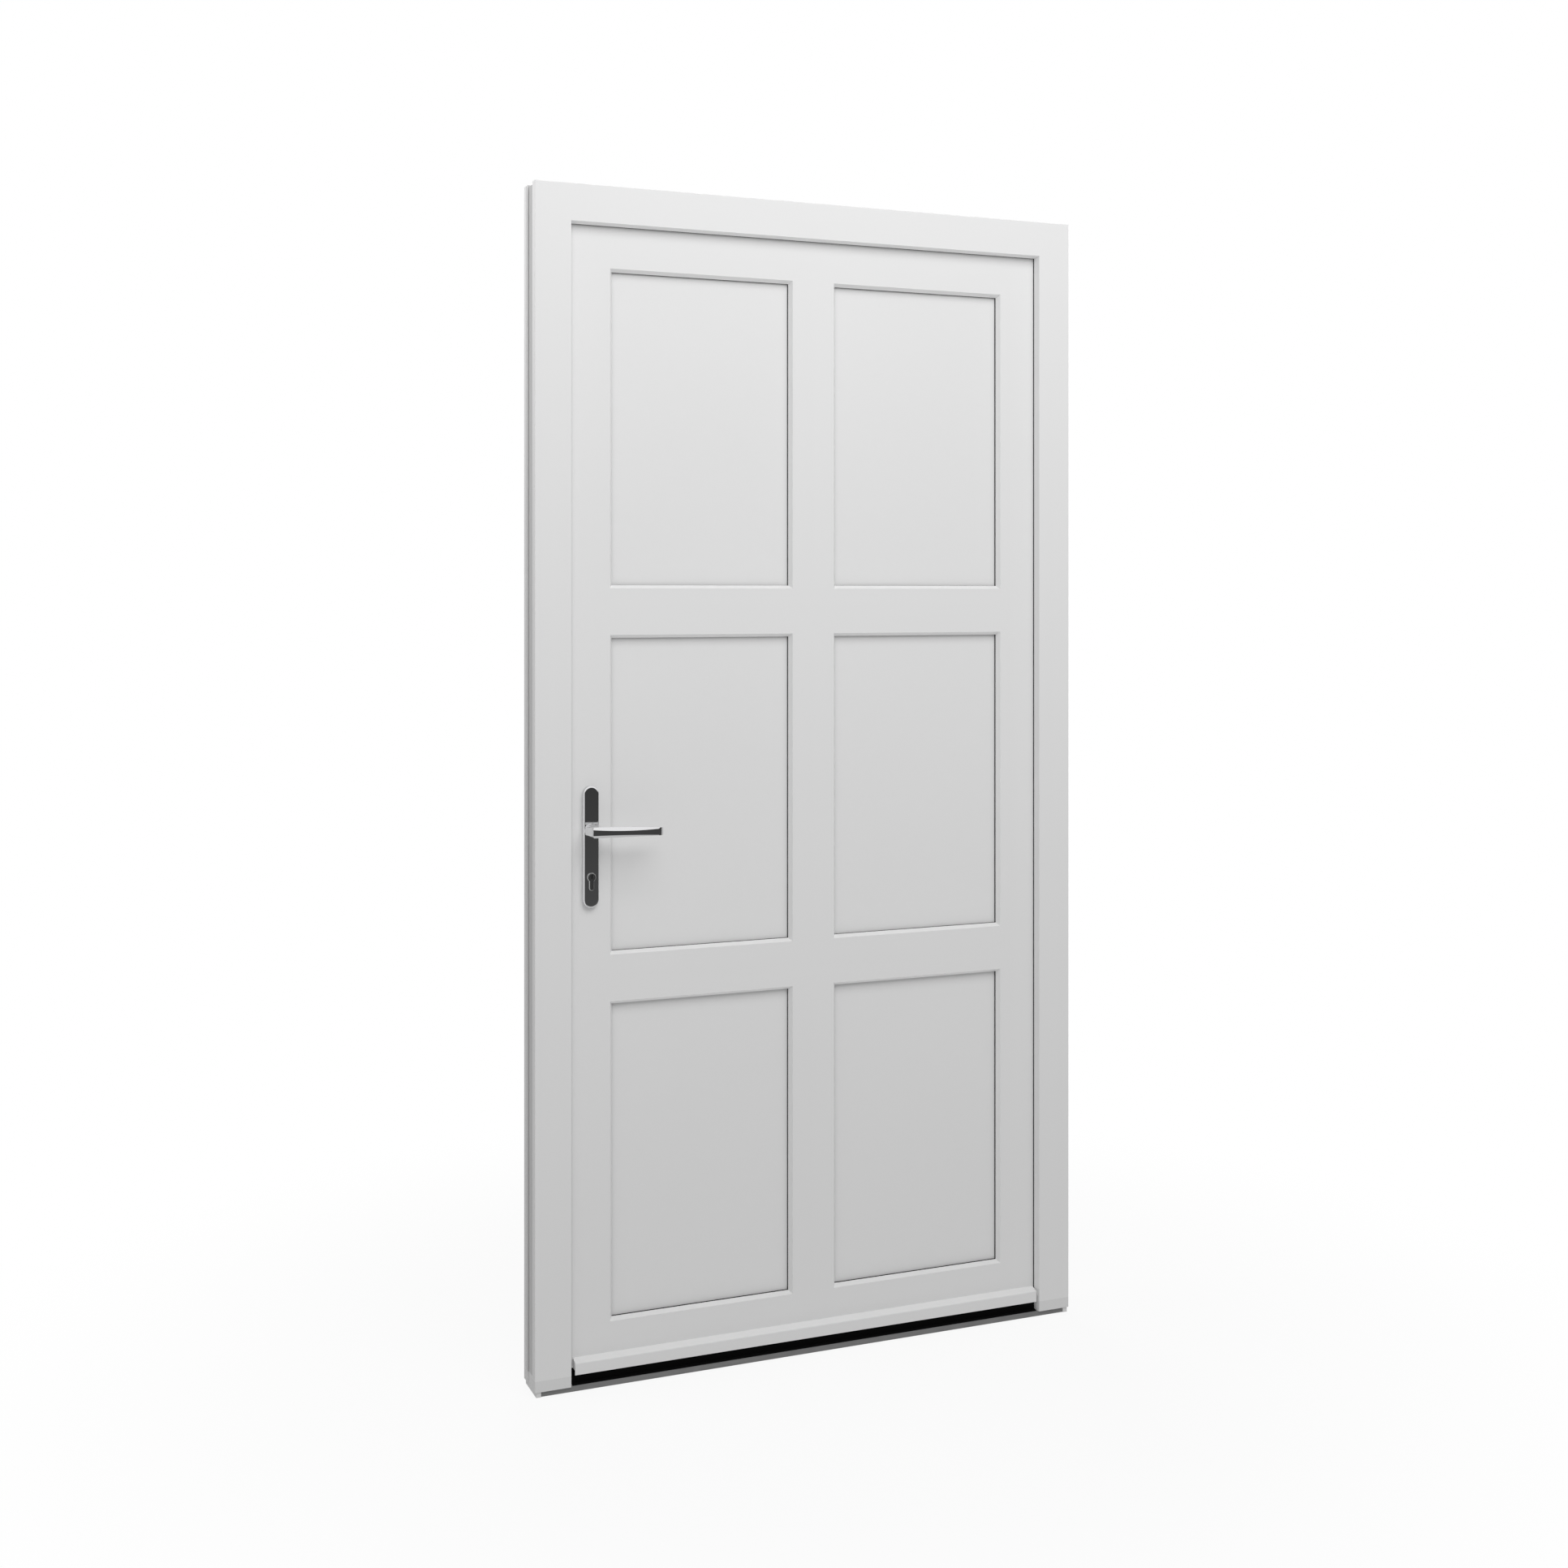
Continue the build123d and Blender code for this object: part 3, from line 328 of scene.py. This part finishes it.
def channel_mask(shader):
    """1 on the floors of the channel and the fine groove round the frame's outer side, 0 elsewhere."""
    fittings = bpy.context.scene.door_fittings
    low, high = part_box("lock_jamb")
    start = low.y + fittings.channel_from_front
    groove = high.y - fittings.groove_from_back
    skin = 1.5 * fittings.channel_depth
    x = shader.add("ShaderNodeSeparateXYZ", None, [shader.place()], output="X")
    y, z = x.out("Y"), x.out("Z")
    outside = (abs(x) > -low.x - skin).at_least(z > high.z - skin)
    in_channel = (y > start) * (y < start + fittings.channel_width)
    in_groove = (y > groove) * (y < groove + fittings.groove_width)
    return outside * (in_channel + in_groove)


def plastic_finish(name, colour, roughness, grain=PLAIN, relief=0.00001, coat=0.0, channel=False):
    """Extruded or moulded plastic: faint flow lines along its grain, cloudy gloss, fine peel.

    The floors of the frame's outer channel and groove are rougher, and carry painted shade that makes them
    greyer.
    """
    material, shader = new_finish(name)
    # The channel mask makes these floors rougher and also carries their painted shade
    dull_and_shaded = channel_mask(shader) if channel else 0.0
    along = shader.place(grain)
    everywhere = shader.place()
    streaks = shader.noise(along, scale=60.0, detail=4.0)
    clouds = shader.noise(everywhere, scale=2.4, detail=2.0)
    peel = shader.noise(everywhere, scale=900.0, detail=2.0)
    specks = shader.noise(everywhere, scale=240.0, detail=3.0)
    shade = streaks * 0.010 + clouds * 0.018 + specks * 0.008 + 1.0
    mottled = clouds * 0.10 + streaks * 0.06 + specks * 0.05 + roughness
    inputs = {
        # Painted shade: the floors of the outer channel and fine groove are darkened in colour
        "Base Color": shader.tint(colour, shade * (1.0 - dull_and_shaded * CHANNEL_PAINTED_SHADE)),
        "Roughness": mottled + dull_and_shaded * CHANNEL_ROUGHER,
        "Normal": shader.bump(streaks * 0.6 + peel * 0.4, relief),
        "Specular IOR Level": PLASTIC_SHINE,
        "Coat Weight": coat,
    }
    shader.finish(shader.add("ShaderNodeBsdfPrincipled", None, inputs))
    return material


def rubber_finish(name, colour, shine=0.3):
    """Black extruded rubber, matt, with a faint grey bloom and fine pits."""
    material, shader = new_finish(name)
    everywhere = shader.place()
    bloom = shader.noise(everywhere, scale=35.0, detail=4.0)
    pits = shader.noise(everywhere, scale=1600.0, detail=2.0)
    inputs = {
        "Base Color": shader.tint(colour, bloom * 0.5 + 1.0),
        "Roughness": bloom * 0.16 + 0.62,
        "Normal": shader.bump(pits, FINE_RELIEF),
        "Specular IOR Level": shine,
    }
    shader.finish(shader.add("ShaderNodeBsdfPrincipled", None, inputs))
    return material


def metal_finish(name, colour, roughness, grain=PLAIN, brushing=0.0, wear=0.08, metallic=1.0):
    """Metal with a brushed grain, cloudy gloss and light handling marks."""
    material, shader = new_finish(name)
    along = shader.place(grain)
    everywhere = shader.place()
    lines = shader.noise(along, scale=420.0, detail=3.0)
    clouds = shader.noise(everywhere, scale=28.0, detail=4.0)
    marks = shader.noise(everywhere, scale=160.0, detail=5.0, roughness=0.7)
    inputs = {
        "Base Color": shader.tint(colour, clouds * wear + lines * brushing * 0.4 + 1.0),
        "Metallic": metallic,
        "Roughness": clouds * wear * 0.6 + marks * wear * 0.4 + lines * brushing * 0.5 + roughness,
        "Normal": shader.bump(lines * brushing + marks * wear * 0.2, FINE_RELIEF),
    }
    shader.finish(shader.add("ShaderNodeBsdfPrincipled", None, inputs))
    return material


def cover(names, material):
    """Gives the door's own solids a finish."""
    for name in names:
        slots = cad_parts[name].data.materials
        slots.clear()
        slots.append(material)


def make_piece(name, mesh, material, body):
    """A mesh piece that rides on one of the door's bodies."""
    piece = bpy.data.objects.new(name, mesh)
    bpy.context.scene.collection.objects.link(piece)
    mesh.materials.append(material)
    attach(piece, body)
    return piece


def to_mesh(shape, name):
    """Turns a shape into a mesh and frees the shape."""
    mesh = bpy.data.meshes.new(name)
    shape.to_mesh(mesh)
    shape.free()
    return mesh


def to_smooth_mesh(shape, name):
    """The same, shaded smooth except at its sharp edges."""
    mesh = to_mesh(shape, name)
    mesh.shade_smooth()
    mesh.set_sharp_from_angle(angle=SHARP_ANGLE)
    return mesh


def facing(place, outward, turn):
    """Matrix that stands a shape drawn about +Z on a place, facing outward and turned about its axis."""
    turned = Vector(outward).to_track_quat("Z", "Y").to_matrix().to_4x4()
    return Matrix.Translation(place) @ turned @ Matrix.Rotation(turn, 4, "Z")


def shaped_disc(shape, matrix, radius, height_at, rings, segments):
    """Adds a disc of rings whose height follows height_at(x, y), with a wall down to its seat."""
    angles = [2 * math.pi * step / segments for step in range(segments)]

    def add_point(x, y, height):
        return shape.verts.new(matrix @ Vector((x, y, height)))

    rows = []
    for ring in range(1, rings + 1):
        reach = radius * ring / rings
        around = [(reach * math.cos(angle), reach * math.sin(angle)) for angle in angles]
        rows.append([add_point(x, y, height_at(x, y)) for x, y in around])
    seat = [add_point(radius * math.cos(angle), radius * math.sin(angle), 0.0) for angle in angles]
    rows.append(seat)
    middle = add_point(0.0, 0.0, height_at(0.0, 0.0))
    for step in range(segments):
        following = (step + 1) % segments
        shape.faces.new((middle, rows[0][step], rows[0][following]))
        for inner, outer in zip(rows, rows[1:]):
            shape.faces.new((inner[step], outer[step], outer[following], inner[following]))
    shape.faces.new(list(reversed(seat)))


def discs(name, places, outward, radius, height_at, material, body):
    """Like discs with the same relief, one on each place, joined as one piece."""
    fittings = bpy.context.scene.door_fittings
    shape = bmesh.new()
    for number, place in enumerate(places):
        matrix = facing(place, outward, turn=SCREW_TURN * number)
        shaped_disc(shape, matrix, radius, height_at, fittings.rings, fittings.segments)
    return make_piece(name, to_smooth_mesh(shape, name), material, body)


def screw_heads(name, places, outward, radius, material, body):
    """Domed screw heads with a cross recess that gets shallow over the outer half of its arms."""
    fittings = bpy.context.scene.door_fittings
    half_recess = fittings.recess_width / 2
    recess_reach = radius * RECESS_REACH_SHARE

    def height_at(x, y):
        away = math.hypot(x, y) / radius
        dome = fittings.screw_dome * (1 - HEAD_FALL * away ** 2)
        across, along = sorted((abs(x), abs(y)))
        if across < half_recess and along < recess_reach:
            depth = fittings.recess_depth * min(1.0, (recess_reach - along) / (0.5 * recess_reach))
            return max(dome - depth, THINNEST_HEAD)
        return dome

    return discs(name, places, outward, radius, height_at, material, body)


def fixing_caps(name, places, outward, material):
    """Low plastic caps over the screws that fix the frame to the wall."""
    fittings = bpy.context.scene.door_fittings

    def height_at(x, y):
        away = math.hypot(x, y) / fittings.cap_radius
        return fittings.cap_dome * (1 - CAP_FALL * away ** 4)

    return discs(name, places, outward, fittings.cap_radius, height_at, material, "frame")


def islands(name):
    """Lowest and highest corners of each separate solid of a node, from the lowest solid up."""
    shape = bmesh.new()
    shape.from_mesh(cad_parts[name].data)
    bmesh.ops.remove_doubles(shape, verts=shape.verts, dist=WELD_DISTANCE)
    left = set(shape.verts)
    boxes = []
    while left:
        reached = [left.pop()]
        for vertex in reached:
            joined = {edge.other_vert(vertex) for edge in vertex.link_edges} & left
            left -= joined
            reached.extend(joined)
        sides = list(zip(*(vertex.co for vertex in reached)))
        boxes.append((Vector([min(side) for side in sides]), Vector([max(side) for side in sides])))
    shape.free()
    return sorted(boxes, key=lambda box: box[0].z)


class OBJECT_OT_door_profiles(bpy.types.Operator):
    """Finish the white frame and leaf members, beads and weather bar"""

    bl_idname = "door.profiles"
    bl_label = "White profiles"

    def execute(self, context):
        colours = context.scene.door_colours
        fittings = context.scene.door_fittings
        white, roughness = colours.profile, colours.profile_roughness
        cover(JAMBS, plastic_finish("frame_upright", white, roughness, UPRIGHT, channel=True))
        cover(("frame_head",), plastic_finish("frame_level", white, roughness, LEVEL, channel=True))
        leaf_upright = plastic_finish("leaf_upright", white, roughness, UPRIGHT)
        cover((*STILES, *MULLIONS, "panel_beads"), leaf_upright)
        cover((*RAILS, "weather_bar"), plastic_finish("leaf_level", white, roughness, LEVEL))
        low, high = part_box("lock_jamb")
        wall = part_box("lock_keeps")[0].x
        depth = (low.y + high.y) / 2 + fittings.channel_width / 4
        heights = [low.z + (high.z - low.z) * share for share in FIXING_SHARES]
        for side, name in ((1, "lock_jamb_caps"), (-1, "hinge_jamb_caps")):
            places = [Vector((side * wall, depth, height)) for height in heights]
            fixing_caps(name, places, (side, 0, 0), leaf_upright)
        return {"FINISHED"}


class OBJECT_OT_door_panels(bpy.types.Operator):
    """Finish the six flat panels"""

    bl_idname = "door.panels"
    bl_label = "Panels"

    def execute(self, context):
        colours = context.scene.door_colours
        cover(PANELS, plastic_finish("white_panel", colours.panel, roughness=0.36, relief=0.00002))
        return {"FINISHED"}


def gasket_section(start, end, reach):
    """Section (reach, y) of a gasket from its profile at start to its seat at end, with a rounded lip."""
    lip = [(reach + out, start + (end - start) * share) for share, out in LIP]
    return [(0.0, end), (0.0, start), *lip]


def run_gasket(shape, corners, section, closed):
    """Adds a gasket of this section along corners, each an x, a z and its inward ways in x and z."""
    rows = [
        [shape.verts.new((x + way_x * reach, y, z + way_z * reach)) for reach, y in section]
        for x, z, way_x, way_z in corners
    ]
    for row, following in zip(rows, rows[1:] + rows[:1] if closed else rows[1:]):
        for step in range(len(section)):
            shape.faces.new((row[step - 1], row[step], following[step], following[step - 1]))
    if not closed:
        shape.faces.new(rows[0])
        shape.faces.new(list(reversed(rows[-1])))


class OBJECT_OT_door_gaskets(bpy.types.Operator):
    """Run lipped gaskets round the panels and behind the frame's lip, and finish the other seals"""

    bl_idname = "door.gaskets"
    bl_label = "Gaskets"

    def execute(self, context):
        fittings = context.scene.door_fittings
        rubber = rubber_finish("black_rubber", context.scene.door_colours.rubber)
        cover(PLAIN_SEALS, rubber)
        front, back = (corner.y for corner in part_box("panel_gaskets"))
        shape = bmesh.new()
        for panel in PANELS:
            low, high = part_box(panel)
            corners = (
                (low.x, low.z, 1, 1), (high.x, low.z, -1, 1),
                (high.x, high.z, -1, -1), (low.x, high.z, 1, -1),
            )
            run_gasket(shape, corners, gasket_section(front, low.y, fittings.outer_reach), closed=True)
            run_gasket(shape, corners, gasket_section(back, high.y, fittings.inner_reach), closed=True)
        self.add_gasket("panel_gasket_lips", shape, rubber, "leaf", "panel_gaskets")
        low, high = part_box("frame_gasket")
        start = low.y + fittings.seal_root_depth
        section = gasket_section(start, high.y, fittings.seal_reach)
        section[1:2] = [(0.0, low.y), (fittings.seal_root, low.y), (fittings.seal_root, start)]
        corners = (
            (low.x, low.z, 1, 0), (low.x, high.z, 1, -1),
            (high.x, high.z, -1, -1), (high.x, low.z, -1, 0),
        )
        shape = bmesh.new()
        run_gasket(shape, corners, section, closed=False)
        self.add_gasket("frame_gasket_lip", shape, rubber, "frame", "frame_gasket")
        return {"FINISHED"}

    @staticmethod
    def add_gasket(name, shape, rubber, body, node):
        """Makes a gasket that takes the place of a node."""
        bmesh.ops.recalc_face_normals(shape, faces=shape.faces)
        mesh = to_smooth_mesh(shape, name)
        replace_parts(make_piece(name, mesh, rubber, body), node)


class OBJECT_OT_door_threshold(bpy.types.Operator):
    """Finish the end blocks, base plate, threshold body and tread"""

    bl_idname = "door.threshold"
    bl_label = "Threshold"

    def execute(self, context):
        colours = context.scene.door_colours
        cover(END_BLOCKS, plastic_finish("end_block", colours.block, roughness=0.5, relief=0.00004))
        cover(("threshold_body",), rubber_finish("black_threshold", colours.threshold, shine=0.08))
        base = metal_finish(
            "grey_base", colours.base_plate, roughness=0.5, grain=(0.02, 1.0, 1.0), brushing=0.3, wear=0.2,
            metallic=0.4,
        )
        cover(("threshold_base",), base)
        tread = metal_finish(
            "aluminium_tread", colours.aluminium, roughness=0.34, grain=LEVEL, brushing=0.35, wear=0.12
        )
        cover(("threshold_tread",), tread)
        return {"FINISHED"}


class OBJECT_OT_door_handles(bpy.types.Operator):
    """Finish the handle plates, levers and spindle, and screw the indoor plate down"""

    bl_idname = "door.handles"
    bl_label = "Handles"

    def execute(self, context):
        colours = context.scene.door_colours
        fittings = context.scene.door_fittings
        chrome = metal_finish("polished_chrome", colours.chrome, colours.chrome_roughness, wear=0.04)
        cover(("outer_handle_plate", "inner_handle_plate", "outer_lever", "inner_lever"), chrome)
        steel = metal_finish(
            "spindle_steel", colours.steel, roughness=0.3, grain=(1.0, 0.01, 1.0), brushing=0.3
        )
        cover(("spindle",), steel)
        low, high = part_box("inner_handle_plate")
        middle = (low.x + high.x) / 2
        face = high.y - fittings.collar_height
        inset = (high.x - low.x) * PLATE_INSET_SHARE
        places = [Vector((middle, face, low.z + inset)), Vector((middle, face, high.z - inset))]
        radius = fittings.plate_screw
        screw_heads("inner_plate_screws", places, (0, 1, 0), radius, chrome, "leaf")
        return {"FINISHED"}


class OBJECT_OT_door_cylinder(bpy.types.Operator):
    """Finish the lock cylinder"""

    bl_idname = "door.cylinder"
    bl_label = "Lock cylinder"

    def execute(self, context):
        nickel = metal_finish("cylinder_nickel", context.scene.door_colours.nickel, roughness=0.25)
        cover(("lock_cylinder",), nickel)
        return {"FINISHED"}


class OBJECT_OT_door_lock(bpy.types.Operator):
    """Finish the lock's faceplate, bolts and keeps, and screw them down"""

    bl_idname = "door.lock"
    bl_label = "Lock"

    def execute(self, context):
        colours = context.scene.door_colours
        fittings = context.scene.door_fittings
        steel = metal_finish(
            "lock_steel", colours.steel, roughness=0.32, grain=UPRIGHT, brushing=0.4, wear=0.15
        )
        cover(("lock_faceplate", "lock_keeps"), steel)
        bolts = metal_finish(
            "bolt_steel", colours.bolt, roughness=0.22, grain=LEVEL, brushing=0.3, wear=0.1
        )
        cover(("lock_bolts",), bolts)
        inset = fittings.screw_inset
        low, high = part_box("lock_faceplate")
        step = (high.z - low.z - 2 * inset) / (fittings.screw_rows - 1)
        heights = [low.z + inset + step * row for row in range(fittings.screw_rows)]
        spindle_low, spindle_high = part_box("spindle")
        heights.append((spindle_low.z + spindle_high.z) / 2 - fittings.cylinder_drop)
        middle = (low.y + high.y) / 2
        places = [Vector((low.x, middle, height)) for height in heights]
        radius = fittings.small_screw
        screw_heads("faceplate_screws", places, (-1, 0, 0), radius, bolts, "leaf")
        places = []
        for low, high in islands("lock_keeps"):
            middle = (low.y + high.y) / 2
            places += [Vector((high.x, middle, low.z + inset)), Vector((high.x, middle, high.z - inset))]
        screw_heads("keep_screws", places, (1, 0, 0), radius, bolts, "frame")
        return {"FINISHED"}


class OBJECT_OT_door_hinges(bpy.types.Operator):
    """Finish the hinges and screw their plates down"""

    bl_idname = "door.hinges"
    bl_label = "Hinges"

    def execute(self, context):
        fittings = context.scene.door_fittings
        white = context.scene.door_colours.hinge
        paint = plastic_finish("hinge_white", white, roughness=0.28, relief=0.00002, coat=0.3)
        cover([f"{row}_{side}_hinge" for row in ROWS for side in ("frame", "leaf")], paint)
        leaf_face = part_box("lock_stile")[1].y + fittings.hinge_plate
        frame_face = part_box("lock_jamb")[1].y + fittings.hinge_plate
        leaf_places, frame_places = [], []
        for row in ROWS:
            low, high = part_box(f"{row}_leaf_hinge")
            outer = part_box(f"{row}_frame_hinge")[1].x
            for way in (-0.5, 0.5):
                height = (low.z + high.z) / 2 + way * fittings.hinge_screw_spread
                leaf_places.append(Vector((low.x + fittings.hinge_screw_reach, leaf_face, height)))
                frame_places.append(Vector((outer - fittings.hinge_screw_reach, frame_face, height)))
        for name, places, body in (
            ("leaf_hinge_screws", leaf_places, "leaf"),
            ("frame_hinge_screws", frame_places, "frame"),
        ):
            screw_heads(name, places, (0, 1, 0), fittings.small_screw, paint, body)
        return {"FINISHED"}


class OBJECT_OT_door_stage(bpy.types.Operator):
    """Set up the floor, the lights, the world and the camera"""

    bl_idname = "door.stage"
    bl_label = "Stage"

    def execute(self, context):
        settings = context.scene.door_stage
        self.add_floor(settings)
        self.add_world(context.scene, settings)
        self.add_soft_light(
            "key_light", settings.key_power, size=(3.2, 2.2), place=(0.0, -2.6, 3.9), aim=(0.0, 0.0, 1.3)
        )
        self.add_soft_light(
            "side_light", settings.side_power, size=(0.8, 0.8), place=(-1.75, 0.5, 2.8),
            aim=(-0.56, 0.0, 1.6),
        )
        self.add_soft_light(
            "back_light", settings.back_power, size=(1.6, 1.6), place=(0.5, 2.8, 3.4), aim=(0.2, 0.0, 1.2)
        )
        self.add_camera(context.scene, settings)
        context.scene.view_settings.view_transform = "Standard"
        return {"FINISHED"}

    @staticmethod
    def add_floor(settings):
        """Pale floor that shows the camera mostly plain white, with the door's soft shadow."""
        shape = bmesh.new()
        bmesh.ops.create_circle(
            shape, cap_ends=True, segments=FLOOR_SEGMENTS, radius=settings.floor_radius
        )
        mesh = to_mesh(shape, "floor")
        floor = bpy.data.objects.new("floor", mesh)
        floor.location.z = -FLOOR_DROP
        floor.visible_diffuse = False
        floor.visible_glossy = False
        bpy.context.scene.collection.objects.link(floor)
        material, shader = new_finish("pale_floor")
        place = shader.place()
        shade = shader.noise(place, scale=1.5) * 0.02 + 1.0
        inputs = {"Base Color": shader.tint(settings.floor, shade), "Roughness": 0.9}
        matt = shader.add("ShaderNodeBsdfPrincipled", None, inputs)
        white = shader.add("ShaderNodeEmission", None, {"Color": (1.0, 1.0, 1.0), "Strength": 1.0})
        far = shader.add("ShaderNodeVectorMath", {"operation": "LENGTH"}, [place], output="Value")
        plain = shader.ramp(far, *FLOOR_FADE) * (1.0 - settings.floor_white) + settings.floor_white
        ray = shader.add("ShaderNodeLightPath", output="Is Camera Ray")
        shader.finish(shader.add("ShaderNodeMixShader", None, [plain * ray, matt, white]))
        mesh.materials.append(material)

    @staticmethod
    def add_world(scene, settings):
        """White to the camera, soft room light, and in mirrors a room lit from above and the lock side.

        The ramps run over the parts of a direction: x towards the hinge side and z straight up.
        """
        scene.world = bpy.data.worlds.new("studio")
        shader = Shader(scene.world, "ShaderNodeOutputWorld")
        way = shader.add("ShaderNodeTexCoord", output="Generated")
        x = shader.add("ShaderNodeSeparateXYZ", None, [way], output="X")
        z = x.out("Z")
        up, down = shader.ramp(z, 0.0, 1.0), shader.ramp(z, 0.0, -1.0)
        lit = shader.backdrop(up * settings.sky_light + down * settings.ground_light + settings.level_light)
        above, beyond_lock = shader.ramp(z, 0.0, 0.2), shader.ramp(x, -0.2, -0.55)
        ground = shader.ramp(z, -0.4, -0.75) * settings.mirrored_ground
        light = above.at_least(beyond_lock).at_least(ground)
        dark = shader.ramp(z, -0.05, -0.25) * settings.mirrored_low + settings.mirrored_dark
        mirrored = shader.backdrop(dark.at_least(light * settings.mirrored_light))
        ray = shader.add("ShaderNodeLightPath", output="Is Camera Ray")
        mirror_ray = ray.out("Is Glossy Ray") + ray.out("Is Transmission Ray")
        room = shader.add("ShaderNodeMixShader", None, [mirror_ray, lit, mirrored])
        shader.finish(shader.add("ShaderNodeMixShader", None, [ray, room, shader.backdrop(1.0)]))

    @staticmethod
    def add_soft_light(name, power, size, place, aim):
        """Rectangular lamp that neither the camera nor a mirror shows."""
        data = bpy.data.lights.new(name, "AREA")
        data.shape = "RECTANGLE"
        data.size, data.size_y = size
        data.energy = power
        light = bpy.data.objects.new(name, data)
        light.location = place
        light.rotation_euler = (Vector(aim) - Vector(place)).to_track_quat("-Z", "Y").to_euler()
        light.visible_camera = False
        light.visible_glossy = False
        bpy.context.scene.collection.objects.link(light)

    @staticmethod
    def add_camera(scene, settings):
        """Level camera, shifted up or down to put the horizon on its row."""
        data = bpy.data.cameras.new("camera")
        data.sensor_width = 36.0
        data.lens = settings.lens
        data.shift_y = (settings.horizon - PHOTO_SIZE / 2) / PHOTO_SIZE
        data.dof.use_dof = False
        camera = bpy.data.objects.new("camera", data)
        camera.location = settings.camera_place
        camera.rotation_euler = (math.radians(90), 0.0, -settings.camera_turn)
        scene.collection.objects.link(camera)
        scene.camera = camera


STEPS = (
    OBJECT_OT_door_profiles,
    OBJECT_OT_door_panels,
    OBJECT_OT_door_gaskets,
    OBJECT_OT_door_threshold,
    OBJECT_OT_door_handles,
    OBJECT_OT_door_cylinder,
    OBJECT_OT_door_lock,
    OBJECT_OT_door_hinges,
    OBJECT_OT_door_stage,
)


class VIEW3D_PT_door(bpy.types.Panel):
    """Lists the steps that dress the door"""

    bl_idname = "VIEW3D_PT_door"
    bl_label = "Six-panel door"
    bl_space_type = "VIEW_3D"
    bl_region_type = "UI"
    bl_category = "Door"

    def draw(self, context):
        for step in STEPS:
            self.layout.operator(step.bl_idname)
        for group in (context.scene.door_colours, context.scene.door_fittings, context.scene.door_stage):
            box = self.layout.box()
            for name in group.bl_rna.properties.keys():
                if name not in {"rna_type", "name"}:
                    box.prop(group, name)


CLASSES = (DoorColours, DoorFittings, DoorStage, *STEPS, VIEW3D_PT_door)


def register():
    for cls in CLASSES:
        bpy.utils.register_class(cls)
    bpy.types.Scene.door_colours = PointerProperty(type=DoorColours)
    bpy.types.Scene.door_fittings = PointerProperty(type=DoorFittings)
    bpy.types.Scene.door_stage = PointerProperty(type=DoorStage)


def unregister():
    del bpy.types.Scene.door_stage
    del bpy.types.Scene.door_fittings
    del bpy.types.Scene.door_colours
    for cls in reversed(CLASSES):
        bpy.utils.unregister_class(cls)


def main():
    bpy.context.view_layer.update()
    register()
    bpy.ops.door.profiles()
    bpy.ops.door.panels()
    bpy.ops.door.gaskets()
    bpy.ops.door.threshold()
    bpy.ops.door.handles()
    bpy.ops.door.cylinder()
    bpy.ops.door.lock()
    bpy.ops.door.hinges()
    bpy.ops.door.stage()


if __name__ == "__main__":
    main()
